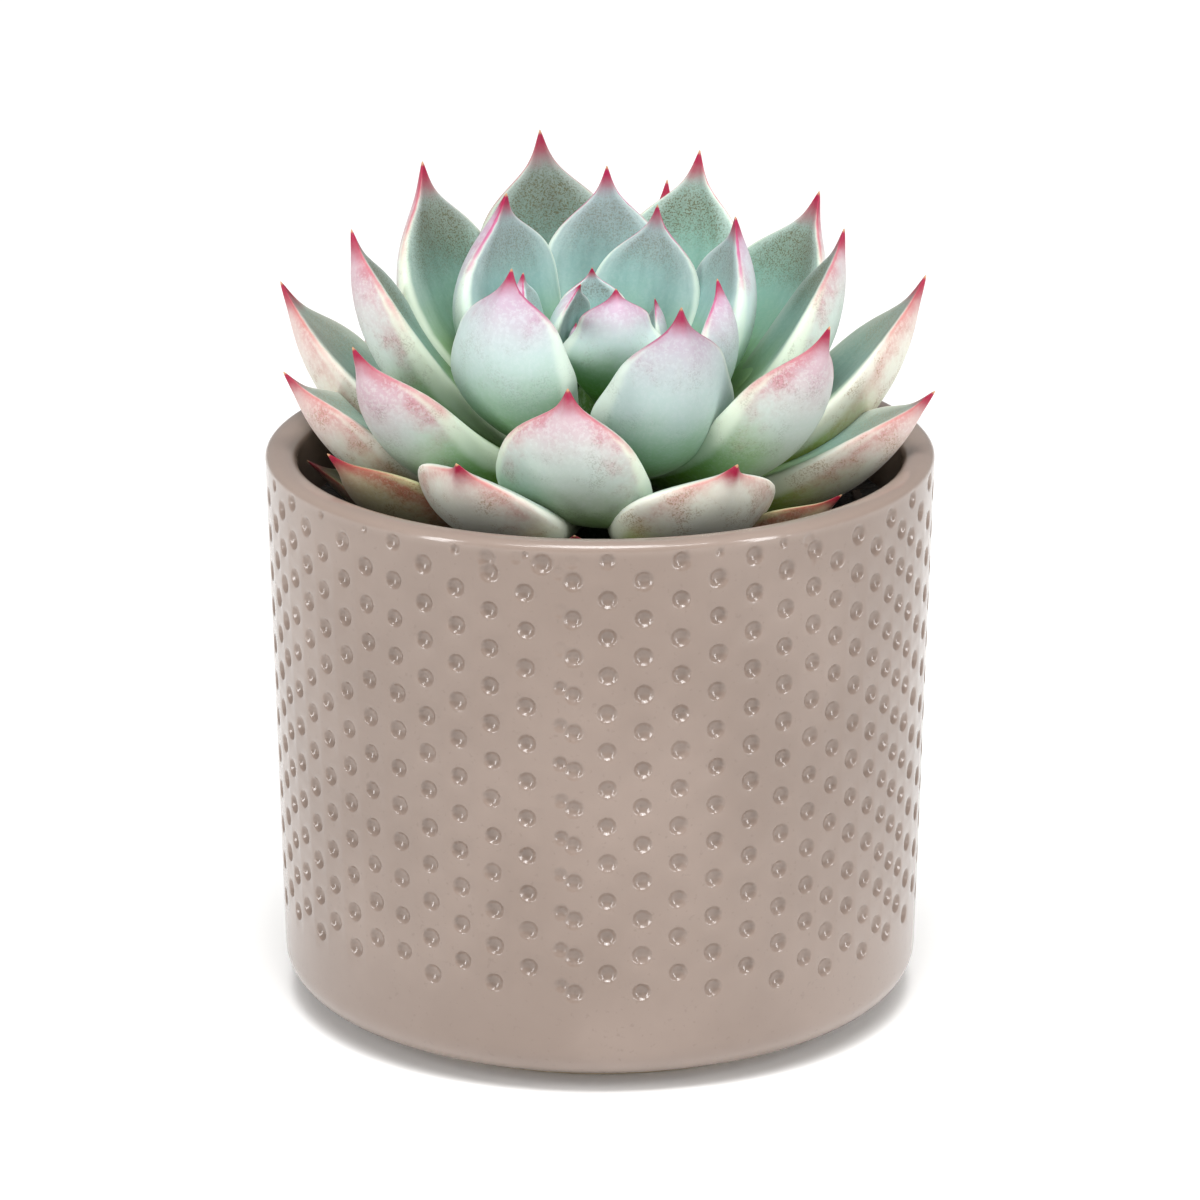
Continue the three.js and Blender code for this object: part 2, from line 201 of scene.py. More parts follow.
def calc(tree, operation, first, second=0.0):
    return addNode(tree, "ShaderNodeMath", {0: first, 1: second}, operation=operation).outputs[0]


def times(tree, product, *factors):
    for factor in factors:
        product = calc(tree, "MULTIPLY", product, factor)
    return product


def plus(tree, total, *terms):
    for term in terms:
        total = calc(tree, "ADD", total, term)
    return total


def ramp(tree, value, start, end, atStart=0.0, atEnd=1.0):
    ends = {"From Min": start, "From Max": end, "To Min": atStart, "To Max": atEnd}
    return addNode(tree, "ShaderNodeMapRange", {"Value": value, **ends},
                   interpolation_type="SMOOTHSTEP").outputs[0]


def noise(tree, where, scale, detail=3.0, rough=0.55, stretch=None):
    if stretch:
        where = addNode(tree, "ShaderNodeMapping", {"Vector": where, "Scale": stretch}).outputs[0]
    inputs = {"Vector": where, "Scale": scale, "Detail": detail, "Roughness": rough}
    return addNode(tree, "ShaderNodeTexNoise", inputs).outputs[0]


def attribute(tree, name):
    return addNode(tree, "ShaderNodeAttribute", {}, attribute_name=name).outputs["Fac"]


def bump(tree, height, strength, distance, under=None):
    # distance in metres
    inputs = {"Height": height, "Strength": strength, "Distance": distance}
    if under is not None:
        inputs["Normal"] = under
    return addNode(tree, "ShaderNodeBump", inputs).outputs[0]


# camera, floor and soft light, in metres and degrees
studio = {
    "distance": 1.3, "lookDown": 18.09, "aimHeight": 0.0856, "lens": 185, "sensor": 36,
    "floorSize": 8, "floorTone": (254, 254, 253), "floorClouds": 3.0, "floorShade": 3, "floorRoughness": 0.9,
    "floorSpecular": 0.1, "skyStrength": 0.33, "farthest": 50,
    # a wide far light overhead
    "overhead": {"rise": 78, "spread": 26, "strength": 1.85, "distance": 2},
    # name, turn from the front, rise, distance, width, height, watts
    "panels": [("frontStrip", 4, 61, 1.3, 1.2, 0.16, 9), ("leftBox", -55, 16, 1.2, 0.2, 0.9, 7.8),
               ("rightBox", 55, 16, 1.2, 0.2, 0.9, 7.8)],
    "lightAim": 0.1,
}


def towards(turn, rise):
    # direction from the pot: turn from the front to the right, rise over the floor, degrees
    turn, rise = math.radians(turn), math.radians(rise)
    return Vector((math.sin(turn) * math.cos(rise), -math.cos(turn) * math.cos(rise), math.sin(rise)))


def addLight(name, kind, place, aim):
    light = bpy.data.lights.new(name, kind)
    lamp = bpy.data.objects.new(name, light)
    bpy.context.scene.collection.objects.link(lamp)
    lamp.location = place
    lamp.rotation_euler = (aim - place).to_track_quat("-Z", "Y").to_euler()
    return light


def setUpStudio():
    tilt = math.radians(studio["lookDown"])
    camera = bpy.data.objects.new("camera", bpy.data.cameras.new("camera"))
    bpy.context.scene.collection.objects.link(camera)
    away = studio["distance"]
    camera.location = (0, -away * math.cos(tilt), studio["aimHeight"] + away * math.sin(tilt))
    camera.rotation_euler = (math.pi / 2 - tilt, 0, 0)
    camera.data.lens, camera.data.sensor_width = studio["lens"], studio["sensor"]
    camera.data.clip_end = studio["farthest"]
    bpy.context.scene.camera = camera

    floor = addShape(bpy.ops.mesh.primitive_plane_add, size=studio["floorSize"])
    floor.name = "floor"
    material, tree, where = newMaterial("paleFloor")
    shaded = [value - studio["floorShade"] for value in studio["floorTone"]]
    tone = mixColours(tree, noise(tree, where, studio["floorClouds"]), colour(*studio["floorTone"]),
                      colour(*shaded))
    paint(floor, finished(material, {"Base Color": tone, "Roughness": studio["floorRoughness"],
                                     "Specular IOR Level": studio["floorSpecular"]}))

    world = bpy.data.worlds.new("softSky")
    bpy.context.scene.world = world
    world.use_nodes = True
    sky = world.node_tree.nodes["Background"]
    sky.inputs["Color"].default_value = (1.0, 1.0, 1.0, 1.0)
    sky.inputs["Strength"].default_value = studio["skyStrength"]

    aim = Vector((0, 0, studio["lightAim"]))
    overhead = studio["overhead"]
    far = addLight("overhead", "SUN", aim + towards(0, overhead["rise"]) * overhead["distance"], aim)
    far.energy, far.angle = overhead["strength"], math.radians(overhead["spread"])
    for name, turn, rise, away, wide, tall, watts in studio["panels"]:
        panel = addLight(name, "AREA", aim + towards(turn, rise) * away, aim)
        panel.shape = "RECTANGLE"
        panel.size, panel.size_y, panel.energy = wide, tall, watts
    bpy.context.scene.view_settings.view_transform = "Standard"
    print("studio ready")


setUpStudio()


# the pot: a wall of dimple tiles, closed by its lip, inner wall, underside and foot
pot = {
    "height": 120, "rimRadius": 70, "bodyFootRadius": 67,
    "lipWidth": 6.8, "lipOuter": 2.5, "lipInner": (3.4, 3.2), "innerFootRadius": 60.5,
    "floorHeight": 9, "floorCorner": 5, "innerCrestDrop": 0.02, "centreRings": (30, 4),
    "filletRadius": 7.5, "lowWall": (17, 14), "footOuterRadius": 55, "footInnerRadius": 49, "footHeight": 3.4,
    # the foot ring's profile: how far outside its outer and its inner radius, and height
    "footOutside": [(1.2, 3.35), (0.35, 2.9), (0, 2.1), (-0.2, 0.9), (-0.5, 0.3), (-1.2, 0)],
    "footInside": [(0.9, 0), (0.3, 0.3), (0, 1), (-0.3, 2.6), (-1.2, 3.4)],
    "lipSteps": 7, "innerWallSteps": 8, "cornerSteps": 4, "filletSteps": 8, "smoothBelow": 50,
    "pitch": 8.07, "lowestDimple": 23.4, "rows": 12,
    # radius and depth of each ring of a dimple, and its number of sides
    "dimpleRings": [(2.18, 0.0), (2.04, 0.04), (1.86, 0.2), (1.52, 0.6), (1.05, 0.92)],
    "dimpleDepth": 1.08, "dimpleSides": 16, "wander": 0.14, "sizeSpread": 0.05, "depthSpread": 0.07,
    # the least that the lip leaves of a dimple, and how near counts as the same place
    "leastTopSize": 0.4, "closeBy": 0.01,
    # turn of each column on the seen side and height of its lowest dimple, then how many fill the back
    "columns": [(-73.8, 28.0), (-69.5, 24.4), (-64.4, 27.6), (-59.2, 24.2), (-54, 28.5), (-48.3, 24.6),
                (-42.7, 28.8), (-36.5, 27.5), (-30.5, 24.1), (-24.5, 28.3), (-18.5, 24.4), (-12.4, 28.7),
                (-5.4, 23.4), (1.2, 27.6), (7.2, 23.5), (13.5, 27.2), (19.9, 23.0), (26.3, 26.8),
                (32.5, 22.4), (38.3, 25.6), (43.4, 21.8), (48.6, 25.8), (53.7, 22.1), (58.2, 26.4),
                (62.2, 22.8), (66.4, 27.6), (71.2, 23.3)],
    "backColumns": 34,
    # where the clay was joined the dimples overlap a second, fainter column
    "seam": -5.4, "seamRight": 1.15, "seamLeft": -1.55, "seamLift": 1.6, "seamFaint": 3,
    "seamRightSize": (0.92, 1), "seamLeftSize": (0.68, 0.8), "seamLeftDepth": (0.9, 1.2), "faintDepth": 0.25,
    # turn, height, size and depth of the odd ones beside the lip, and how far off a strip looks for them
    "oddDimples": [(-18.9, 115.9, 0.95, 0.8), (-9.5, 115.7, 1.1, 1), (-13.8, 116.6, 0.7, 0.35),
                   (20.1, 117.2, 0.45, 1), (31.7, 117.1, 0.5, 1), (36.9, 116.4, 0.8, 0.5),
                   (-4.5, 116.2, 0.8, 0.25)],
    "oddReach": 7,
    "seamCuts": 24, "topCuts": 20, "backCuts": 10, "rowCuts": 5,
}


def wallRadius(height):
    return pot["bodyFootRadius"] + (pot["rimRadius"] - pot["bodyFootRadius"]) * height / pot["height"]


def rowHeight(row):
    # middle of a dimple in the columns that start lowest
    return pot["lowestDimple"] + row * pot["pitch"]


def fieldTop():
    # a quarter of a tile above the last whole one, where the lip begins to roll
    return rowHeight(pot["rows"] - 0.25)


def dimpleTile():
    # flat tile in X and Z that faces -Y: a round dimple in the middle of a square outline
    halfTall, rings = pot["pitch"] / 2, pot["dimpleRings"]
    tile = addShape(bpy.ops.mesh.primitive_circle_add, vertices=pot["dimpleSides"], radius=rings[0][0],
                    fill_type="NGON", rotation=facingFront)
    mesh = startEditing(tile)
    for edge in mesh.edges:
        edge.select_set(True)
    bpy.ops.mesh.extrude_edges_move()
    for vertex in mesh.verts:
        if vertex.select:
            turn = math.atan2(vertex.co.z, vertex.co.x)
            longest = max(abs(math.cos(turn)), abs(math.sin(turn)))
            vertex.co.x = halfTall * round(2 * math.cos(turn) / longest) / 2
            vertex.co.z = halfTall * round(2 * math.sin(turn) / longest) / 2
    bmesh.update_edit_mesh(tile.data)
    selectFaces(tile, lambda face: len(face.verts) == pot["dimpleSides"])
    for (radius, depth), (nextRadius, nextDepth) in zip(rings, rings[1:]):
        bpy.ops.mesh.extrude_region_move(TRANSFORM_OT_translate={"value": (0, nextDepth - depth, 0)})
        bpy.ops.transform.resize(value=(nextRadius / radius, 1, nextRadius / radius),
                                 center_override=(0, 0, 0))
    bpy.ops.mesh.poke()
    mesh = bmesh.from_edit_mesh(tile.data)
    for vertex in mesh.verts:
        if math.hypot(vertex.co.x, vertex.co.z) < pot["closeBy"]:
            vertex.co.y = pot["dimpleDepth"]
    bmesh.update_edit_mesh(tile.data)
    stopEditing()
    return tile


def plainTile():
    tile = addShape(bpy.ops.mesh.primitive_grid_add, x_subdivisions=4, y_subdivisions=2, size=1,
                    rotation=facingFront)
    tile.scale = (pot["pitch"], 1, pot["pitch"] / 2)
    applyPlace(tile)
    return tile


def flatColumn(raised):
    # tiles stacked from the bottom of the field; a raised column stands on half a plain tile
    column = dimpleTile()
    applyModifier(column, "ARRAY", count=pot["rows"] - 1, use_relative_offset=False,
                  use_constant_offset=True, constant_offset_displace=(0, 0, pot["pitch"]),
                  use_merge_vertices=True, merge_threshold=pot["closeBy"])
    column.location.z = rowHeight(0.5 if raised else 0)
    applyPlace(column)
    if not raised:
        return column
    filler = plainTile()
    filler.location.z = rowHeight(-0.25)
    applyPlace(filler)
    return joinAll([column, filler], "raisedColumn")


def toWall(vertex, angle, depth, height):
    radius = wallRadius(height) - depth
    around = math.radians(angle - 90)
    vertex.co = Vector((radius * math.cos(around), radius * math.sin(around), height)) * mm


def wrapColumn(column, turn, leftTurn, rightTurn, raised, lowest):
    # moves a flat column onto the wall: its outline fills the space to its neighbours, its dimples wander
    pitch = pot["pitch"]
    rimOfDimple = pot["dimpleRings"][0][0] + pot["closeBy"]
    firstRow = rowHeight(0.5 if raised else 0)
    moves = []
    for row in range(pot["rows"] - 1):
        size = 1 + either(pot["sizeSpread"])
        upwards = lowest - firstRow + either(pot["wander"])
        room = pitch / 2 - rimOfDimple * size - 2 * pot["closeBy"]
        moves.append((either(pot["wander"]), min(room, max(-room, upwards)), size,
                      1 + either(pot["depthSpread"])))
    for vertex in column.data.vertices:
        across, depth, height = vertex.co
        row = min(len(moves) - 1, max(0, round((height - firstRow) / pitch)))
        middle = firstRow + row * pitch
        if math.hypot(across, height - middle) <= rimOfDimple:
            sideways, upwards, size, deeper = moves[row]
            height = middle + (height - middle) * size + upwards
            angle = turn + math.degrees((sideways + across * size) / wallRadius(height))
            toWall(vertex, angle, depth * deeper, height)
        else:
            toSide = rightTurn if across > 0 else leftTurn
            toWall(vertex, turn + (toSide - turn) * abs(across) / (pitch / 2), 0, height)


def bowlDepth(distance, size):
    rings = [(0, pot["dimpleDepth"])] + pot["dimpleRings"][::-1]
    return shareAt(rings, distance / size, 1) * size if distance < rings[-1][0] * size else 0.0


def pressedStrip(turn, leftTurn, rightTurn, foot, cuts, bowls):
    # a closely cut strip up to the lip, pressed with bowls: turn, height, size and depth of each
    quarter = pot["pitch"] / 4
    tiledTo = rowHeight(pot["rows"] - 1)
    rowsOfCuts = round((fieldTop() - foot) / quarter) * pot["rowCuts"]
    border = 0.001
    strip = addShape(bpy.ops.mesh.primitive_grid_add, x_subdivisions=cuts, y_subdivisions=rowsOfCuts,
                     size=1, rotation=facingFront)
    for vertex in strip.data.vertices:
        share, rise = vertex.co.x + 0.5, vertex.co.z + 0.5
        height = foot + rise * (fieldTop() - foot)
        # its edges have the same points as the tiles beside and below it
        onEnd = min(rise, 1 - rise) < border
        besideTiles = min(share, 1 - share) < border and height < tiledTo + pot["closeBy"]
        if onEnd:
            share = round(share * 4) / 4
        elif besideTiles:
            height = foot + round((height - foot) / quarter) * quarter
        toSide = rightTurn if share > 0.5 else leftTurn
        angle = turn + (toSide - turn) * abs(share - 0.5) * 2
        depth = 0.0
        if not onEnd and not besideTiles:
            for around, level, size, deeper in bowls:
                across = math.radians(angle - around) * wallRadius(height)
                depth = max(depth, bowlDepth(math.hypot(across, height - level), size) * deeper)
        toWall(vertex, angle, depth, height)
    return strip


def seamBowls():
    bowls = []
    toDegrees = math.degrees(1 / pot["rimRadius"])
    for row in range(pot["rows"]):
        wander = [either(pot["wander"]) for _ in range(4)]
        middle = rowHeight(row)
        faint = row >= pot["rows"] - pot["seamFaint"]
        bowls.append((pot["seam"] + (pot["seamRight"] + wander[0]) * toDegrees, middle + wander[1],
                      random.uniform(*pot["seamRightSize"]), 1))
        bowls.append((pot["seam"] + (pot["seamLeft"] + wander[2]) * toDegrees,
                      middle + pot["seamLift"] + wander[3], random.uniform(*pot["seamLeftSize"]),
                      pot["faintDepth"] if faint else random.uniform(*pot["seamLeftDepth"])))
    return bowls


def topBowl(turn, lowest):
    # the lip has closed part of the topmost ones
    height = lowest + (pot["rows"] - 1) * pot["pitch"] + either(pot["wander"])
    roomAbove = (fieldTop() - height) / pot["dimpleRings"][0][0]
    return turn, height, min(1, max(pot["leastTopSize"], roomAbove)), 1


def selectLoop(mesh, above):
    # the open edge in the upper or in the lower half of the shell
    bpy.ops.mesh.select_all(action="DESELECT")
    for edge in mesh.edges:
        middle = (edge.verts[0].co.z + edge.verts[1].co.z) / 2
        if edge.is_boundary and (middle > pot["height"] * mm / 2) == above:
            edge.select_set(True)


def drawOn(profile, fromRadius, fromHeight):
    # extrudes the selected ring of edges through the points of a profile, millimetres
    for radius, height in profile:
        bpy.ops.mesh.extrude_edges_move(
            TRANSFORM_OT_translate={"value": (0, 0, (height - fromHeight) * mm)})
        bpy.ops.transform.resize(value=(radius / fromRadius, radius / fromRadius, 1),
                                 center_override=(0, 0, height * mm))
        fromRadius, fromHeight = radius, height


def roll(fromPoint, toPoint, steps, inward):
    # a quarter of an ellipse between two points of the profile; it starts level if inward, else upright
    points = []
    for step in range(1, steps + 1):
        turn = math.pi / 2 * step / steps
        out, up = 1 - math.cos(turn), math.sin(turn)
        if inward:
            out, up = math.sin(turn), 1 - math.cos(turn)
        points.append((fromPoint[0] + (toPoint[0] - fromPoint[0]) * out,
                       fromPoint[1] + (toPoint[1] - fromPoint[1]) * up))
    return points


def buildPot():
    columns = list(pot["columns"])
    backStep = (360 + columns[0][0] - columns[-1][0]) / (pot["backColumns"] + 1)
    for index in range(1, pot["backColumns"] + 1):
        columns.append((pot["columns"][-1][0] + index * backStep, rowHeight(0.5 if index % 2 else 0)))
    even, raisedOne = flatColumn(False), flatColumn(True)
    strips = []
    count = len(columns)
    fieldFoot = rowHeight(-0.5)
    for index, (turn, lowest) in enumerate(columns):
        before = columns[index - 1][0] - (360 if index == 0 else 0)
        after = columns[(index + 1) % count][0] + (360 if index == count - 1 else 0)
        sides = ((before + turn) / 2, (turn + after) / 2)
        near = [bowl for bowl in pot["oddDimples"] if abs(bowl[0] - turn) < pot["oddReach"]]
        if turn == pot["seam"]:
            strips.append(pressedStrip(turn, *sides, fieldFoot, pot["seamCuts"], seamBowls() + near))
            continue
        raised = lowest > rowHeight(0.25)
        column = copyOf(raisedOne if raised else even, "column")
        wrapColumn(column, turn, *sides, raised, lowest)
        foot = rowHeight(pot["rows"] - (1 if raised else 1.5))
        cuts = pot["topCuts"] if index < len(pot["columns"]) else pot["backCuts"]
        strips += [column, pressedStrip(turn, *sides, foot, cuts, [topBowl(turn, lowest)] + near)]
    bpy.data.objects.remove(even)
    bpy.data.objects.remove(raisedOne)
    shell = joinAll(strips, "pot_fine")
    tidyMesh(shell)

    # up over the lip, down the inner wall and across the floor
    start = (wallRadius(fieldTop()), fieldTop())
    crest = (start[0] - pot["lipOuter"], pot["height"])
    innerTop = (pot["rimRadius"] - pot["lipWidth"], pot["height"] - pot["lipInner"][1])
    innerCrest = (innerTop[0] + pot["lipInner"][0], pot["height"] - pot["innerCrestDrop"])
    upper = roll(start, crest, pot["lipSteps"], False) + [innerCrest]
    upper += roll(innerCrest, innerTop, pot["lipSteps"], True)
    cornerTop = pot["floorHeight"] + pot["floorCorner"]
    for step in range(1, pot["innerWallSteps"] + 1):
        share = step / pot["innerWallSteps"]
        upper.append((innerTop[0] + (pot["innerFootRadius"] - innerTop[0]) * share,
                      innerTop[1] + (cornerTop - innerTop[1]) * share))
    cornerEnd = (pot["innerFootRadius"] - pot["floorCorner"], pot["floorHeight"])
    upper += roll(upper[-1], cornerEnd, pot["cornerSteps"], False)
    upper += [(radius, pot["floorHeight"]) for radius in pot["centreRings"]]
    mesh = startEditing(shell)
    selectLoop(mesh, True)
    drawOn(upper, *start)
    bpy.ops.mesh.edge_face_add()

    # down the wall, round the fillet, under the body and over the foot ring
    footTop, fillet = pot["footHeight"], pot["filletRadius"]
    lower = [(wallRadius(height), height) for height in (*pot["lowWall"], footTop + fillet)]
    lower += roll(lower[-1], (lower[-1][0] - fillet, footTop), pot["filletSteps"], False)
    lower += [(pot["footOuterRadius"] + out, height) for out, height in pot["footOutside"]]
    lower += [(pot["footInnerRadius"] + out, height) for out, height in pot["footInside"]]
    lower += [(radius, footTop) for radius in pot["centreRings"]]
    mesh = bmesh.from_edit_mesh(shell.data)
    selectLoop(mesh, False)
    drawOn(lower, wallRadius(fieldFoot), fieldFoot)
    bpy.ops.mesh.edge_face_add()
    stopEditing()
    tidyMesh(shell)
    shadeSmooth(shell, pot["smoothBelow"])
    return shell


glaze = {
    "body": (121, 105, 95), "pale": (131, 115, 105), "deep": (107, 92, 82), "foot": (188, 172, 150),
    "roughness": 0.46, "roughSpread": 0.08, "specular": 0.22,
    "coat": 0.85, "coatIor": 1.5, "coatRoughness": 0.13,
    # scale and detail of each grain, then what part of it shows and how strongly
    "clouds": (24, 4), "cloudsShow": (0.35, 0.7), "specks": (900, 2), "specksShow": (0.62, 0.75, 0.0, 0.35),
    "smears": (60, 3), "rimFrom": (0.1165, 0.1195, 0.0, 0.35), "rimPaler": 26,
    # scale and detail of each unevenness, then its strength and depth
    "ripple": (140, 2), "rippleBump": (0.12, 0.0006), "pores": (1400, 2), "poresBump": (0.06, 0.0001),
    "footGrain": (700, 4), "footBump": (0.4, 0.0002), "footDarker": 34, "footRoughness": 0.85,
    # how far above the floor and beyond the ring the bare clay goes
    "bareHeight": 1.2, "bareMargin": 1,
}


def glazeMaterial():
    material, tree, where = newMaterial("taupeGlaze")
    clouds = ramp(tree, noise(tree, where, *glaze["clouds"]), *glaze["cloudsShow"])
    tone = mixColours(tree, clouds, colour(*glaze["body"]), colour(*glaze["pale"]))
    specks = ramp(tree, noise(tree, where, *glaze["specks"]), *glaze["specksShow"])
    tone = mixColours(tree, specks, tone, colour(*glaze["deep"]))
    # the glaze is thin and pale on the lip
    height = addNode(tree, "ShaderNodeSeparateXYZ", {"Vector": where}).outputs[2]
    rim = ramp(tree, height, *glaze["rimFrom"])
    tone = mixColours(tree, rim, tone, colour(*[value + glaze["rimPaler"] for value in glaze["pale"]]))
    smears = times(tree, noise(tree, where, *glaze["smears"]), glaze["roughSpread"])
    ripple = bump(tree, noise(tree, where, *glaze["ripple"]), *glaze["rippleBump"])
    skin = bump(tree, noise(tree, where, *glaze["pores"]), *glaze["poresBump"], ripple)
    return finished(material, {
        "Base Color": tone, "Roughness": plus(tree, glaze["roughness"], smears), "Normal": skin,
        "Specular IOR Level": glaze["specular"], "Coat Weight": glaze["coat"], "Coat IOR": glaze["coatIor"],
        "Coat Roughness": glaze["coatRoughness"]})


def bisqueMaterial():
    material, tree, where = newMaterial("bareFoot")
    grain = noise(tree, where, *glaze["footGrain"])
    darker = [value - glaze["footDarker"] for value in glaze["foot"]]
    tone = mixColours(tree, grain, colour(*glaze["foot"]), colour(*darker))
    return finished(material, {
        "Base Color": tone, "Roughness": glaze["footRoughness"],
        "Normal": bump(tree, grain, *glaze["footBump"])})


potShell = buildPot()
paint(potShell, glazeMaterial(), bisqueMaterial())
bareFrom, bareTo = pot["footInnerRadius"] - glaze["bareMargin"], pot["footOuterRadius"] + glaze["bareMargin"]
for face in potShell.data.polygons:
    out = math.hypot(face.center.x, face.center.y) / mm
    onFoot = face.center.z < glaze["bareHeight"] * mm and bareFrom < out < bareTo
    face.material_index = 1 if onFoot else 0
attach(potShell, "root")
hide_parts("pot")
print("pot ready", len(potShell.data.polygons), "faces")


# the leaves: one blade is modelled, and each leaf is a copy of it bent along its own midrib
stem = {"foot": 90, "top": 139, "footRadius": 12, "topRadius": 3.2, "gap": 0.35, "sides": 32,
        "crownInset": 1.2, "crownRise": 1.8, "smoothBelow": 60}
bladeRings = {
    "low": {"at": 102, "standOff": 1, "bow": 0.1, "thick": 0.3, "cup": 0.08},
    "outer": {"at": 109, "standOff": 1, "bow": 0.16, "thick": 0.34, "cup": 0.12},
    "middle": {"at": 115, "standOff": 1, "bow": 0.16, "thick": 0.34, "cup": 0.12},
    "inner": {"at": 122, "standOff": 0.3, "bow": 0.19, "thick": 0.34, "cup": 0.1},
    "heart": {"at": 131, "standOff": 0.35, "bow": 0.14, "thick": 0.36, "cup": 0.1},
}
# ring, turn round the stem, reach and height of the tip, width, and what differs from the ring: roll in
# degrees, sway to one side, light (painted light or shade on its colours), flush (how far its blush reaches
# down) and the like
leafTable = [
    ("low", 180, 61.5, 116.5, 20, {"light": 0.8}),
    ("low", 205.5, 62, 126, 27, {"roll": 20}),
    ("low", 265, 59, 118.5, 26, {"light": 0.7}),
    ("low", 324, 61, 120, 22, {"roll": -14, "light": 1.5}),
    ("low", 30, 59, 119, 24, {}),
    ("low", 92, 59, 120, 24, {}),
    ("low", 148, 60, 119, 24, {}),
    ("outer", 162, 71, 149.5, 29, {"roll": 8, "cup": 0.17, "bow": 0.15, "flush": 0.06}),
    ("outer", 185, 66, 137.5, 28, {"roll": 3, "cup": 0.18, "bow": 0.13, "flush": 0.08}),
    ("outer", 241, 59.5, 131.5, 33, {"sway": -3.5, "bow": 0.11, "roll": -9, "cup": 0.04, "flush": -0.03}),
    ("outer", 298.5, 58, 131, 34, {"roll": -2, "bow": 0.13, "cup": 0.04, "flush": -0.07, "light": 1.03}),
    ("outer", 353.5, 70, 134, 28, {"roll": -3, "cup": 0.18, "bow": 0.13, "flush": 0.05}),
    ("outer", 16, 71.5, 151.5, 30, {"roll": -9, "cup": 0.17, "bow": 0.16}),
    ("outer", 49, 67, 146, 28, {}),
    ("outer", 77.5, 67.5, 160.5, 27, {}),
    ("outer", 112, 67, 145, 28, {}),
    ("outer", 139, 68, 144, 27, {}),
    ("middle", 173.5, 52, 165, 29, {"roll": 10, "cup": 0.15, "bow": 0.14, "flush": 0.08, "light": 0.94}),
    ("middle", 205.5, 56, 148, 31, {"roll": 10, "flush": 0.1, "light": 0.86}),
    ("middle", 262, 46.5, 145.5, 33, {"bow": 0.2, "cup": -0.04, "roll": -7, "thick": 0.4, "shoulder": -0.05,
                                      "flush": 0.03, "light": 0.92}),
    ("middle", 329, 54.5, 153.5, 31, {"roll": -10, "flush": 0.06, "light": 0.85}),
    ("middle", 15.5, 53, 163, 29, {"roll": -12, "cup": 0.14, "light": 0.94}),
    ("middle", 40.5, 61.5, 164.5, 34, {"cup": 0.17, "roll": -4, "light": 1.25}),
    ("middle", 69, 60, 169.5, 32, {"cup": 0.16, "light": 1.35}),
    ("middle", 103, 57.5, 174, 34, {"light": 0.8}),
    ("middle", 132, 56.5, 170.5, 33.5, {"sway": 3, "roll": 13, "flush": 0.05, "light": 1.05}),
    ("inner", 88, 42, 169.5, 28, {"light": 0.95}),
    ("inner", 131.5, 29.5, 168.5, 33.5, {"sway": 3, "roll": 13}),
    ("inner", 66.5, 30.5, 164.5, 25, {"sway": 1.5}),
    ("inner", 29.5, 32.5, 165, 28.5, {"sway": 1, "roll": -11, "light": 1.1}),
    ("inner", 350, 24.5, 157, 23, {}),
    ("inner", 296, 37.5, 159, 32.5, {"at": 118, "light": 0.74, "shoulder": -0.14, "flush": -0.03}),
    ("inner", 235.5, 31.5, 165, 31, {"sway": -3.5, "shoulder": -0.1, "light": 0.86}),
    ("heart", 172.5, 16, 156.5, 18, {"light": 1.5, "flush": 0.04}),
    ("heart", 98, 12, 155, 15.5, {"light": 1.3}),
    ("heart", 150, 4.5, 154, 14, {}),
    ("heart", 283, 14.5, 157.5, 23, {"shoulder": -0.26, "light": 1.1, "flush": 0.02}),
    ("heart", 10, 11.5, 151, 11, {}),
]
blade = {
    # along, width and thickness, as shares
    "stations": [(0, 0.25, 0.36), (0.1, 0.37, 0.54), (0.22, 0.58, 0.76), (0.36, 0.82, 0.95),
                 (0.48, 0.96, 1.0), (0.59, 1.0, 0.98), (0.68, 0.97, 0.9), (0.75, 0.88, 0.79),
                 (0.805, 0.73, 0.66), (0.85, 0.52, 0.53), (0.885, 0.32, 0.4), (0.915, 0.18, 0.27),
                 (0.945, 0.1, 0.18), (0.97, 0.055, 0.11), (0.99, 0.02, 0.05)],
    # across from edge to edge, and share of the thickness below the upper face
    "section": [(1, 0.34), (0.78, 0.06), (0.4, 0), (0, 0), (-0.4, 0), (-0.78, 0.06), (-1, 0.34),
                (-0.93, 0.76), (-0.55, 1.0), (0, 1.06), (0.55, 1.0), (0.93, 0.76)],
    # towards the tip the edges are sharper and the keel narrower
    "tipSection": [(1, 0.3), (0.78, 0.05), (0.4, 0), (0, 0), (-0.4, 0), (-0.78, 0.05), (-1, 0.3),
                   (-0.8, 0.52), (-0.42, 0.88), (0, 1.06), (0.42, 0.88), (0.8, 0.52)],
    "roundUntil": 0.5, "sharpFrom": 0.84, "leastWidth": 0.02,
    "smoothing": 2, "edgeCrease": 0.2, "edgeFrom": 0.98, "upperFaceRise": 0.35, "upperBlend": 2.5,
    "shoulderFrom": 0.5, "shoulderTo": 0.92,
    # the margin's own waves: height, turns along the leaf and where they begin
    "waveHigh": (0.1, 0.5), "waveTurns": (6, 11), "waveStart": (0, 6), "toneSpread": 40,
}


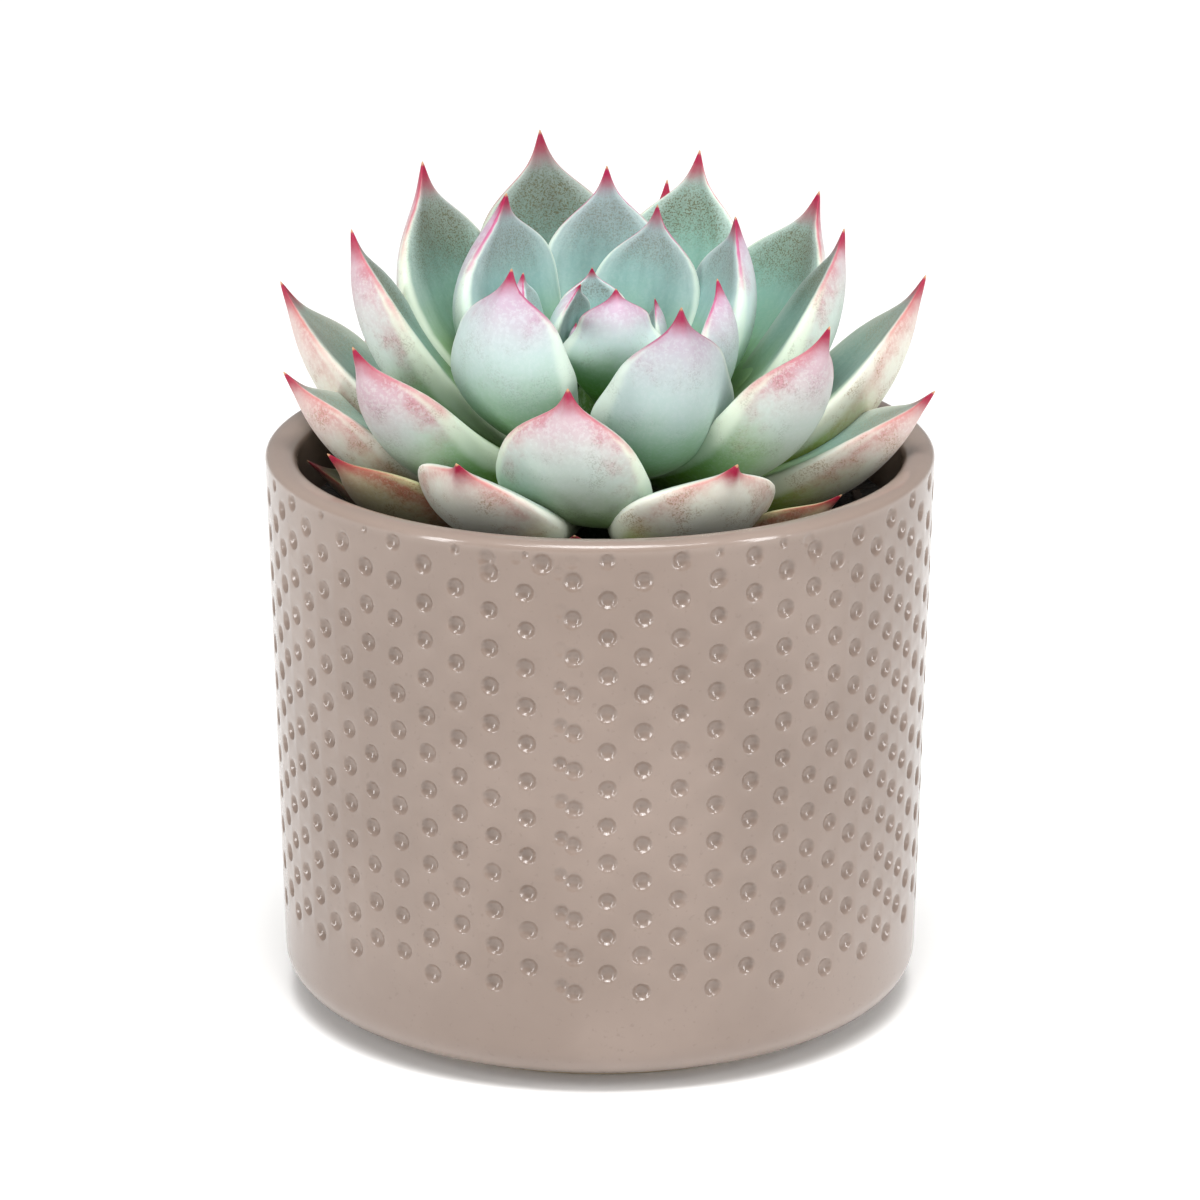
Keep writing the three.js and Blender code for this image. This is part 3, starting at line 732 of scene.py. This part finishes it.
def unitBlade():
    # 1 wide to each side in X, 1 long in Y, 1 thick down from the upper face at Z 0
    section, stations = blade["section"], blade["stations"]
    piece = addShape(bpy.ops.mesh.primitive_circle_add, vertices=len(section), radius=1, fill_type="NGON",
                     rotation=facingFront)
    piece.name = "unitBlade"
    mesh = startEditing(piece)
    mesh.verts.ensure_lookup_table()
    width, thick = stations[0][1:]
    for vertex, (across, below) in zip(mesh.verts, section):
        vertex.co = (across * width, 0, -below * thick)
    bmesh.update_edit_mesh(piece.data)
    bpy.ops.mesh.select_all(action="SELECT")
    for (along, width, thick), (nextAlong, nextWidth, nextThick) in zip(stations, stations[1:]):
        bpy.ops.mesh.extrude_region_move(TRANSFORM_OT_translate={"value": (0, nextAlong - along, 0)})
        bpy.ops.transform.resize(value=(nextWidth / width, 1, nextThick / thick),
                                 center_override=(0, nextAlong, 0))
    bpy.ops.mesh.extrude_region_move(TRANSFORM_OT_translate={"value": (0, 1 - stations[-1][0], 0)})
    bpy.ops.mesh.merge(type="CENTER")
    mesh = bmesh.from_edit_mesh(piece.data)
    creases = mesh.edges.layers.float.get("crease_edge") or mesh.edges.layers.float.new("crease_edge")
    nextToNothing = 0.005
    for edge in mesh.edges:
        ends = [abs(vertex.co.x) / shareAt(stations, vertex.co.y, 1) for vertex in edge.verts]
        lengthwise = abs(edge.verts[0].co.y - edge.verts[1].co.y) > nextToNothing
        outerEnd = max(vertex.co.y for vertex in edge.verts)
        if lengthwise and min(ends) > blade["edgeFrom"] and outerEnd > blade["roundUntil"]:
            edge[creases] = blade["edgeCrease"]
    for vertex in mesh.verts:
        along = vertex.co.y
        width, thick = shareAt(stations, along, 1), shareAt(stations, along, 2)
        if along < 1 - nextToNothing:
            sharp = (along - blade["roundUntil"]) / (blade["sharpFrom"] - blade["roundUntil"])
            sharp = min(1.0, max(0.0, sharp))
            nearest = min(range(len(section)), key=lambda index: math.hypot(
                section[index][0] - vertex.co.x / width, section[index][1] + vertex.co.z / thick))
            across = section[nearest][0] * (1 - sharp) + blade["tipSection"][nearest][0] * sharp
            below = section[nearest][1] * (1 - sharp) + blade["tipSection"][nearest][1] * sharp
            vertex.co.x, vertex.co.z = across * width, -below * thick
    bmesh.update_edit_mesh(piece.data)
    stopEditing()
    applyModifier(piece, "SUBSURF", levels=blade["smoothing"], render_levels=blade["smoothing"])
    tidyMesh(piece)
    piece.scale = (2 / piece.dimensions.x, 1, 1 / piece.dimensions.z)
    applyPlace(piece)
    return piece


def stemRadius(height):
    share = (height - stem["foot"]) / (stem["top"] - stem["foot"])
    return stem["footRadius"] + (stem["topRadius"] - stem["footRadius"]) * share


def midribOf(leaf):
    ring = bladeRings[leaf["ring"]]
    height = leaf.get("at", ring["at"])
    tip = Vector((leaf["reach"], leaf["height"]))

    def curveFrom(radius):
        start = Vector((radius, height))
        chord = tip - start
        sag = Vector((chord.y, -chord.x)) * (leaf.get("bow", ring["bow"]) * 2)
        return start, (start + tip) / 2 + sag, tip

    if "from" in leaf:
        return curveFrom(leaf["from"])
    atStem = stemRadius(height) + stem["gap"]
    start, middle, _ = curveFrom(atStem)
    rootThickness = leaf["width"] * ring["thick"] * blade["stations"][0][2]
    return curveFrom(atStem + ring["standOff"] * rootThickness * (middle - start).normalized().y)


def bendBlade(piece, leaf, wave):
    # every point of the flat blade goes to its place beside the curved midrib
    ring = bladeRings[leaf["ring"]]
    start, middle, tip = midribOf(leaf)
    around = math.radians(leaf["turn"])
    outward = Vector((math.cos(around), math.sin(around), 0))
    sideways = Vector((-outward.y, outward.x, 0))
    up = Vector((0, 0, 1))
    thickness = leaf["width"] * leaf.get("thick", ring["thick"])
    cup = leaf["width"] * leaf.get("cup", ring["cup"])
    shoulder = leaf.get("shoulder", 0)
    shoulderFrom, shoulderTo = blade["shoulderFrom"], blade["shoulderTo"]
    sway = leaf.get("sway", 0)
    stations = blade["stations"]
    frames = {}
    for vertex in piece.data.vertices:
        across, along, lift = vertex.co
        along = min(1.0, max(0.0, along))
        key = round(along, 5)
        if key not in frames:
            place = start * (1 - along) ** 2 + middle * (2 * along * (1 - along)) + tip * along ** 2
            heading = ((middle - start) * (1 - along) + (tip - middle) * along).normalized()
            forward = outward * heading.x + up * heading.y
            turned = Matrix.Rotation(math.radians(leaf.get("roll", 0)), 3, forward)
            centre = outward * place.x + up * place.y + sideways * (sway * math.sin(math.pi * along))
            frames[key] = (centre, turned @ sideways, turned @ (up * heading.x - outward * heading.y),
                           max(blade["leastWidth"], shareAt(stations, along, 1)),
                           shareAt(stations, along, 2))
        centre, side, face, width, thick = frames[key]
        share = across / width
        if shoulderFrom < along < shoulderTo:
            onShoulder = (along - shoulderFrom) / (shoulderTo - shoulderFrom)
            across *= 1 + shoulder * math.sin(math.pi * onShoulder) ** 2
        raised = lift * thickness + cup * width * share ** 2 + thickness * blade["upperFaceRise"] * thick
        raised += wave["high"] * math.sin(wave["turns"] * along + wave["from"]) * share ** 3 * width
        vertex.co = (centre + side * (across * leaf["width"] / 2) + face * raised) * mm


def addBladeMarks(piece):
    # the leaf's own measures, which its colours follow
    values = {"along": [], "across": [], "upper": []}
    for vertex in piece.data.vertices:
        across, along = vertex.co.x, min(1.0, max(0.0, vertex.co.y))
        values["along"].append(along)
        halfWidth = max(blade["leastWidth"], shareAt(blade["stations"], along, 1))
        values["across"].append(max(-1.0, min(1.0, across / halfWidth)))
        values["upper"].append(min(1.0, max(0.0, 0.5 + vertex.normal.z * blade["upperBlend"])))
    for name, row in values.items():
        markPoints(piece, name, row)


# each look: colours, then where the blush and the blotches beside the margin begin and how strong they are,
# how strong the specks and the crimson edge are, and the colour of the wax
leafLooks = {
    "low": {
        "under": (128, 134, 82), "pale": (160, 154, 120), "upper": (84, 102, 58), "root": (82, 94, 36),
        "rim": (170, 172, 130), "blush": (158, 100, 98), "blotch": (146, 60, 50), "tip": (136, 10, 42),
        "speck": (112, 86, 42), "wax": (176, 170, 150), "blushFrom": 0.72, "blushAmount": 0.45,
        "blotchFrom": 0.2, "blotchAmount": 0.75, "faceSpecks": 0.5, "underSpecks": 0.6, "edge": 0.5},
    "outer": {
        "under": (176, 182, 108), "pale": (204, 206, 192), "upper": (130, 162, 152), "root": (112, 138, 18),
        "rim": (214, 216, 204), "blush": (188, 134, 142), "blotch": (182, 100, 98), "tip": (146, 8, 52),
        "speck": (132, 104, 54), "wax": (214, 214, 206), "blushFrom": 0.72, "blushAmount": 0.55,
        "blotchFrom": 0.4, "blotchAmount": 0.5, "faceSpecks": 0.3, "underSpecks": 0.6, "edge": 0.55},
    "middle": {
        "under": (164, 194, 150), "pale": (192, 206, 198), "upper": (112, 150, 138), "root": (102, 144, 26),
        "rim": (216, 228, 208), "blush": (186, 130, 152), "blotch": (180, 94, 108), "tip": (148, 8, 56),
        "speck": (84, 82, 50), "wax": (206, 214, 210), "blushFrom": 0.74, "blushAmount": 0.65,
        "blotchFrom": 0.56, "blotchAmount": 0.6, "faceSpecks": 0.85, "underSpecks": 0.3, "edge": 0.7},
    "inner": {
        "under": (170, 204, 180), "pale": (186, 206, 203), "upper": (132, 168, 164), "root": (92, 142, 50),
        "rim": (214, 230, 216), "blush": (182, 126, 162), "blotch": (174, 78, 122), "tip": (152, 8, 64),
        "speck": (98, 88, 66), "wax": (204, 214, 214), "blushFrom": 0.66, "blushAmount": 0.72,
        "blotchFrom": 0.68, "blotchAmount": 0.45, "faceSpecks": 0.45, "underSpecks": 0.2, "edge": 0.9},
}
# what all the looks share
leafSkin = {
    # scale, detail and roughness of each noise
    "grains": {"broad": (55, 3), "patchy": (150, 4, 0.65), "fine": (520, 3), "streaks": (6, 4),
               "wax": (1100, 4, 0.7), "dots": (2700, 2, 0.6), "pores": (2600, 2)},
    # where each thing fades in or out, as a share of the leaf's length, half width or noise, and its
    # strength at both ends
    "fades": {"pale": (0.34, 0.74), "facePale": (0.45, 1.0, 0.0, 0.5), "streaks": (0.4, 0.7, 0.0, 0.35),
              "root": (0.16, 0.7, 1.0, 0.0), "rootShade": (0.02, 0.3, 0.8, 0.0),
              "rimSheenSide": (0.86, 0.985), "rimSheenAlong": (0.15, 0.4, 0.0, 0.45),
              "blushUpper": (0.4, 0.8, 1.0, 0.3), "under": (0.4, 0.75, 1.0, 0.0), "blotchSide": (0.5, 0.98),
              "waxGrain": (0.47, 0.6), "waxAlong": (0.4, 0.8, 0.1, 0.3), "waxPoint": (0.86, 0.93, 1.0, 0.0),
              "waxUpper": (0.4, 0.8, 1.0, 0.25),
              "lineSide": (0.89, 0.97), "lineAlong": (0.78, 0.88, 0.7, 0.0),
              "dots": (0.48, 0.6), "faceSpecksFrom": (0.66, 0.84), "faceSpecksTo": (0.86, 0.94, 1.0, 0.0),
              "faceSpecksSide": (0.5, 0.95, 1.0, 0.2), "underPatches": (-0.04, 0.14),
              "underSpecksFrom": (0.3, 0.66, 0.3, 1.0), "underSpecksTo": (0.8, 0.92, 1.0, 0.0),
              "edgeSide": (0.93, 1.0), "edgeReach": (0.72, 0.88), "point": (0.89, 0.975),
              "bristle": (0.984, 0.992)},
    # how far the broad and the patchy noise move those places
    "broadRising": 0.3, "broadReach": 0.18, "patchyReach": 0.08, "patchyPoint": 0.06, "patchySide": 0.8,
    "patchyBlotch": 0.45, "streakLength": 0.7, "streakDarker": 26, "rootDarker": 0.55, "blushTo": 0.96,
    "blotchLength": 0.42, "olive": 0.42, "bristle": (186, 138, 104), "roughness": 0.46, "roughSpread": 0.14,
    "subsurface": 0.15, "subsurfaceRadius": (1.0, 0.9, 0.6), "subsurfaceScale": 0.003, "specular": 0.35,
    "sheen": 0.12, "sheenRoughness": 0.45, "fineBump": (0.12, 0.0004), "poresBump": (0.1, 0.0001),
}


def leafMaterial(name, look):
    material, tree, where = newMaterial(name)
    skin = leafSkin

    def grain(place, key):
        return noise(tree, place, *skin["grains"][key])

    def fade(value, key):
        return ramp(tree, value, *skin["fades"][key])

    def layer(under, share, tone):
        return mixColours(tree, share, under, colour(*tone))

    def swing(place, key):
        # a noise that lies evenly round 0
        return calc(tree, "SUBTRACT", grain(place, key), 0.5)

    along, across, upper = attribute(tree, "along"), attribute(tree, "across"), attribute(tree, "upper")
    tone, light = attribute(tree, "tone"), attribute(tree, "light")
    sideness = calc(tree, "ABSOLUTE", across)
    # each leaf reads its noises at a place of its own
    away = addNode(tree, "ShaderNodeCombineXYZ", {"X": tone}).outputs[0]
    shifted = addNode(tree, "ShaderNodeVectorMath", {0: where, 1: away}, operation="ADD").outputs[0]
    broad, patchy, fine = swing(shifted, "broad"), swing(shifted, "patchy"), grain(where, "fine")

    # body: green at the root, mint in the middle, pale and powdery further out, blue green on the upper face
    rising = plus(tree, along, times(tree, broad, skin["broadRising"]))
    body = layer(colour(*look["under"]), fade(rising, "pale"), look["pale"])
    face = layer(colour(*look["upper"]), fade(sideness, "facePale"), look["pale"])
    lengths = addNode(tree, "ShaderNodeCombineXYZ", {
        "X": across, "Y": times(tree, along, skin["streakLength"]), "Z": tone}).outputs[0]
    darker = [value - skin["streakDarker"] for value in look["upper"]]
    face = layer(face, fade(grain(lengths, "streaks"), "streaks"), darker)
    body = mixColours(tree, upper, body, face)
    body = layer(body, fade(rising, "root"), look["root"])
    body = layer(body, fade(along, "rootShade"), [value * skin["rootDarker"] for value in look["root"]])
    # pale band along the margins: partly the leaf's own pale edge, partly a painted sheen where the edges
    # catch the light
    body = layer(body, times(tree, fade(sideness, "rimSheenSide"), fade(along, "rimSheenAlong")), look["rim"])
    # painted light: a leaf with light above 1 has its colours lifted, for how brightly it is lit
    body = mixColours(tree, 1.0, body, calc(tree, "MAXIMUM", light, 1.0), "MULTIPLY")

    # soft blush below the tip, mostly on the underside
    reach = plus(tree, along, times(tree, broad, skin["broadReach"]), attribute(tree, "flush"),
                 times(tree, patchy, skin["patchyReach"]))
    blushed = times(tree, ramp(tree, reach, look["blushFrom"], skin["blushTo"]), look["blushAmount"],
                    fade(upper, "blushUpper"))
    body = layer(body, blushed, look["blush"])

    # blotches on the underside along the margins
    under = fade(upper, "under")
    beside = plus(tree, sideness, times(tree, patchy, skin["patchySide"]))
    blotchReach = plus(tree, reach, times(tree, patchy, skin["patchyBlotch"]))
    blotchEnd = look["blotchFrom"] + skin["blotchLength"]
    blotch = times(tree, fade(beside, "blotchSide"), under,
                   ramp(tree, blotchReach, look["blotchFrom"], blotchEnd), look["blotchAmount"])
    body = layer(body, blotch, look["blotch"])

    # pale wax, rubbed off in fine grains and thin on the upper face
    point = plus(tree, along, times(tree, patchy, skin["patchyPoint"]))
    wax = times(tree, fade(grain(where, "wax"), "waxGrain"), fade(rising, "waxAlong"),
                fade(point, "waxPoint"), fade(upper, "waxUpper"))
    body = layer(body, wax, look["wax"])

    # a pale thin line on the edge itself
    body = layer(body, times(tree, fade(sideness, "lineSide"), fade(along, "lineAlong")), look["rim"])

    # olive and tan specks: dense below the tip of the upper face, which turns olive there itself, and where
    # the blotches end
    onFace = times(tree, fade(reach, "faceSpecksFrom"), fade(along, "faceSpecksTo"), upper,
                   fade(sideness, "faceSpecksSide"), look["faceSpecks"])
    onUnder = times(tree, fade(patchy, "underPatches"), fade(rising, "underSpecksFrom"), under,
                    fade(along, "underSpecksTo"), look["underSpecks"])
    specks = times(tree, fade(grain(where, "dots"), "dots"), calc(tree, "MAXIMUM", onFace, onUnder))
    body = layer(body, specks, look["speck"])
    body = layer(body, times(tree, onFace, skin["olive"]), look["speck"])

    # crimson margin near the point, crimson point with a dry tan bristle
    edgeReach = ramp(tree, reach, *skin["fades"]["edgeReach"], 0.0, look["edge"])
    body = layer(body, times(tree, fade(sideness, "edgeSide"), edgeReach), look["blotch"])
    body = layer(body, fade(point, "point"), look["tip"])
    body = layer(body, fade(along, "bristle"), skin["bristle"])
    # painted shade: a leaf with light below 1 has all its colours darkened, for how much it lies in shade
    body = mixColours(tree, 1.0, body, calc(tree, "MINIMUM", light, 1.0), "MULTIPLY")

    rough = plus(tree, skin["roughness"], times(tree, fine, skin["roughSpread"]))
    relief = bump(tree, grain(where, "pores"), *skin["poresBump"], bump(tree, fine, *skin["fineBump"]))
    return finished(material, {
        "Base Color": body, "Roughness": rough, "Normal": relief,
        "Subsurface Weight": skin["subsurface"], "Subsurface Radius": skin["subsurfaceRadius"],
        "Subsurface Scale": skin["subsurfaceScale"], "Specular IOR Level": skin["specular"],
        "Sheen Weight": skin["sheen"], "Sheen Roughness": skin["sheenRoughness"]})


def growLeaves():
    flat = unitBlade()
    addBladeMarks(flat)
    shadeSmooth(flat)
    paints = {ring: leafMaterial(ring + "Leaf", look) for ring, look in leafLooks.items()}
    paints["heart"] = paints["inner"]
    for number, (ring, turn, reach, height, width, changes) in enumerate(leafTable, 1):
        leaf = {"ring": ring, "turn": turn, "reach": reach, "height": height, "width": width, **changes}
        node = "leaf_" + ring + "_" + str(number).zfill(2)
        piece = copyOf(flat, node + "_fine")
        wave = {"high": random.uniform(*blade["waveHigh"]), "turns": random.uniform(*blade["waveTurns"]),
                "from": random.uniform(*blade["waveStart"])}
        bendBlade(piece, leaf, wave)
        # tone moves the leaf's noises; light is its painted light or shade; flush moves its blush
        own = {"tone": random.uniform(0, blade["toneSpread"]), "light": leaf.get("light", 1),
               "flush": leaf.get("flush", 0)}
        for name, value in own.items():
            markPoints(piece, name, [value] * len(piece.data.vertices))
        paint(piece, paints[ring])
        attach(piece, "root")
        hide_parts(node)
    return flat, paints


flatBlade, leafPaints = growLeaves()
print("leaves ready")

# stem and bud
bud = {"leaves": 5, "turn": 137.5, "from": 1, "below": 4, "reach": 2.2, "rise": 9.5, "width": 5.5,
       "reachStep": 0.7, "riseStep": -0.5, "widthStep": 0.6}


def buildStem():
    tall = (stem["top"] - stem["foot"]) * mm
    middle = stem["foot"] * mm + tall / 2
    stalk = addShape(bpy.ops.mesh.primitive_cone_add, vertices=stem["sides"], depth=tall,
                     radius1=stem["footRadius"] * mm, radius2=stem["topRadius"] * mm,
                     end_fill_type="NGON", location=(0, 0, middle))
    startEditing(stalk)
    selectFaces(stalk, lambda face: len(face.verts) > 4 and face.calc_center_median().z > middle)
    bpy.ops.mesh.inset(thickness=stem["crownInset"] * mm, depth=stem["crownRise"] * mm)
    bpy.ops.mesh.select_all(action="SELECT")
    bpy.ops.mesh.subdivide(number_cuts=2)
    stopEditing()
    parts = [stalk]
    for index in range(bud["leaves"]):
        leaf = {"ring": "heart", "turn": index * bud["turn"], "from": bud["from"],
                "at": stem["top"] - bud["below"], "reach": bud["reach"] + index * bud["reachStep"],
                "height": stem["top"] + bud["rise"] + index * bud["riseStep"],
                "width": bud["width"] + index * bud["widthStep"]}
        piece = copyOf(flatBlade, "budLeaf")
        bendBlade(piece, leaf, {"high": 0, "turns": 1, "from": 0})
        parts.append(piece)
    for piece in parts:
        paint(piece, leafPaints["inner"])
    whole = joinAll(parts, "stem_and_bud_fine")
    # the stem and bud get no painted light or shade
    markPoints(whole, "light", [1.0] * len(whole.data.vertices))
    shadeSmooth(whole, stem["smoothBelow"])
    return whole


stemAndBud = buildStem()
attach(stemAndBud, "root")
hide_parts("stem_and_bud")
bpy.data.objects.remove(flatBlade)
print("stem and bud ready")

# soil, with bits of bark lying in it
soil = {"height": 96, "edgeRise": 9, "edgeRadius": 61.9, "foot": 9.35, "footRadius": 59.8, "sides": 96,
        "lump": 1.12, "crumb": 0.8, "ringStep": 1.4, "midStep": 2.2, "midFrom": 12, "centre": 2,
        "smoothBelow": 40, "dark": (12, 9, 7), "mid": (30, 22, 16), "light": (70, 50, 36),
        "grain": (260, 5, 0.7), "grainShows": (0.35, 0.7), "flecks": (900, 2),
        "flecksShow": (0.64, 0.7, 0.0, 0.5), "crumbScale": 520.0, "roughness": 0.9,
        "crumbBump": (0.8, 0.001), "grainBump": (0.6, 0.0008)}


def soilTop(x, y):
    share = min(1.0, math.hypot(x, y) / soil["edgeRadius"])
    lumps = math.sin(x * 0.31) * math.cos(y * 0.27) + math.sin(x * 0.13 + y * 0.2)
    crumbs = math.sin(x * 1.3 + 2 * math.sin(y * 0.9)) * math.sin(y * 1.1 + 1.7 * math.sin(x * 0.7))
    calm = 1 - share ** 6
    uneven = calm * (soil["lump"] * lumps + soil["crumb"] * crumbs)
    return soil["height"] + soil["edgeRise"] * share ** 2 + uneven


def buildSoil():
    plug = addShape(bpy.ops.mesh.primitive_circle_add, vertices=soil["sides"], fill_type="NGON",
                    radius=soil["edgeRadius"] * mm, location=(0, 0, soil["height"] * mm))
    startEditing(plug)
    bpy.ops.mesh.select_all(action="SELECT")
    bpy.ops.mesh.extrude_region_move(
        TRANSFORM_OT_translate={"value": (0, 0, (soil["foot"] - soil["height"]) * mm)})
    bpy.ops.transform.resize(value=(soil["footRadius"] / soil["edgeRadius"],) * 2 + (1,),
                             center_override=(0, 0, soil["foot"] * mm))
    middle = (soil["foot"] + soil["height"]) / 2 * mm
    selectFaces(plug, lambda face: len(face.verts) > 4 and face.calc_center_median().z > middle)
    radius = soil["edgeRadius"]
    while radius > soil["centre"]:
        step = soil["ringStep"] if radius > soil["midFrom"] else soil["midStep"]
        bpy.ops.mesh.inset(thickness=step * mm, depth=0)
        radius -= step
    bpy.ops.mesh.poke()
    mesh = bmesh.from_edit_mesh(plug.data)
    for vertex in mesh.verts:
        if vertex.co.z > middle:
            vertex.co.z = soilTop(vertex.co.x / mm, vertex.co.y / mm) * mm
    bmesh.update_edit_mesh(plug.data)
    stopEditing()
    tidyMesh(plug)
    shadeSmooth(plug, soil["smoothBelow"])
    plug.name = "soil_fine"
    return plug


chips = {
    "count": 170, "from": 14, "to": 59.5, "keepWithin": 61, "sunk": 0.08, "bevel": 0.12, "split": 0.09,
    # length, then width and thickness as shares of it
    "small": (1.6, 4.2), "large": (4.2, 6.5), "smallShare": 0.8, "width": (0.4, 0.8), "thickness": (0.2, 0.5),
    "pitch": 0.7, "bank": 0.5, "smoothBelow": 35,
    "dark": (34, 24, 18), "light": (92, 62, 40), "cracks": (24, 17, 13), "roughness": 0.8,
    "grain": (700, 4, 0.6, (1, 0.25, 1)), "cracksShow": (0.4, 0.7, 0.0, 0.6), "grainBump": (0.5, 0.0005),
}


def barkChip():
    # a split flake of bark, a few dozen faces
    chip = addShape(bpy.ops.mesh.primitive_cube_add, size=1)
    startEditing(chip)
    bpy.ops.mesh.select_all(action="SELECT")
    bpy.ops.mesh.subdivide(number_cuts=1)
    bpy.ops.mesh.bevel(offset=chips["bevel"], segments=1)
    stopEditing()
    return chip


def scatterChips():
    pattern = barkChip()
    scattered = []
    while len(scattered) < chips["count"]:
        around = random.uniform(0, math.tau)
        out = random.uniform(chips["from"], chips["to"])
        chip = copyOf(pattern, "chip")
        small = random.random() < chips["smallShare"]
        size = random.uniform(*chips["small" if small else "large"])
        stretch = Vector((1, random.uniform(*chips["width"]), random.uniform(*chips["thickness"]))) * size
        tilt = Matrix.Rotation(random.uniform(0, math.tau), 3, "Z")
        tilt = tilt @ Matrix.Rotation(either(chips["pitch"]), 3, "X")
        tilt = tilt @ Matrix.Rotation(either(chips["bank"]), 3, "Y")
        out = min(out, chips["keepWithin"] - size)
        x, y = out * math.cos(around), out * math.sin(around)
        centre = Vector((x, y, soilTop(x, y) + size * chips["sunk"]))
        for vertex in chip.data.vertices:
            split = Vector([either(chips["split"]) for _ in range(3)])
            vertex.co = (centre + tilt @ ((vertex.co + split) * stretch)) * mm
        markPoints(chip, "tone", [random.random()] * len(chip.data.vertices))
        scattered.append(chip)
    bpy.data.objects.remove(pattern)
    flakes = joinAll(scattered, "bark_in_soil")
    shadeSmooth(flakes, chips["smoothBelow"])
    return flakes


def soilMaterial():
    material, tree, where = newMaterial("pottingSoil")
    crumbs = addNode(tree, "ShaderNodeTexVoronoi", {"Vector": where, "Scale": soil["crumbScale"]})
    grain = noise(tree, where, *soil["grain"])
    tone = mixColours(tree, ramp(tree, grain, *soil["grainShows"]), colour(*soil["dark"]),
                      colour(*soil["mid"]))
    flecks = ramp(tree, noise(tree, where, *soil["flecks"]), *soil["flecksShow"])
    tone = mixColours(tree, flecks, tone, colour(*soil["light"]))
    lumpy = bump(tree, crumbs.outputs["Distance"], *soil["crumbBump"])
    return finished(material, {
        "Base Color": tone, "Roughness": soil["roughness"],
        "Normal": bump(tree, grain, *soil["grainBump"], lumpy)})


def barkMaterial():
    material, tree, where = newMaterial("bark")
    grain = noise(tree, where, *chips["grain"])
    tone = mixColours(tree, attribute(tree, "tone"), colour(*chips["dark"]), colour(*chips["light"]))
    tone = mixColours(tree, ramp(tree, grain, *chips["cracksShow"]), tone, colour(*chips["cracks"]))
    return finished(material, {
        "Base Color": tone, "Roughness": chips["roughness"],
        "Normal": bump(tree, grain, *chips["grainBump"])})


soilPlug = buildSoil()
paint(soilPlug, soilMaterial())
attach(soilPlug, "root")
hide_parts("soil")
bark = scatterChips()
paint(bark, barkMaterial())
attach(bark, "root")
print("soil ready")
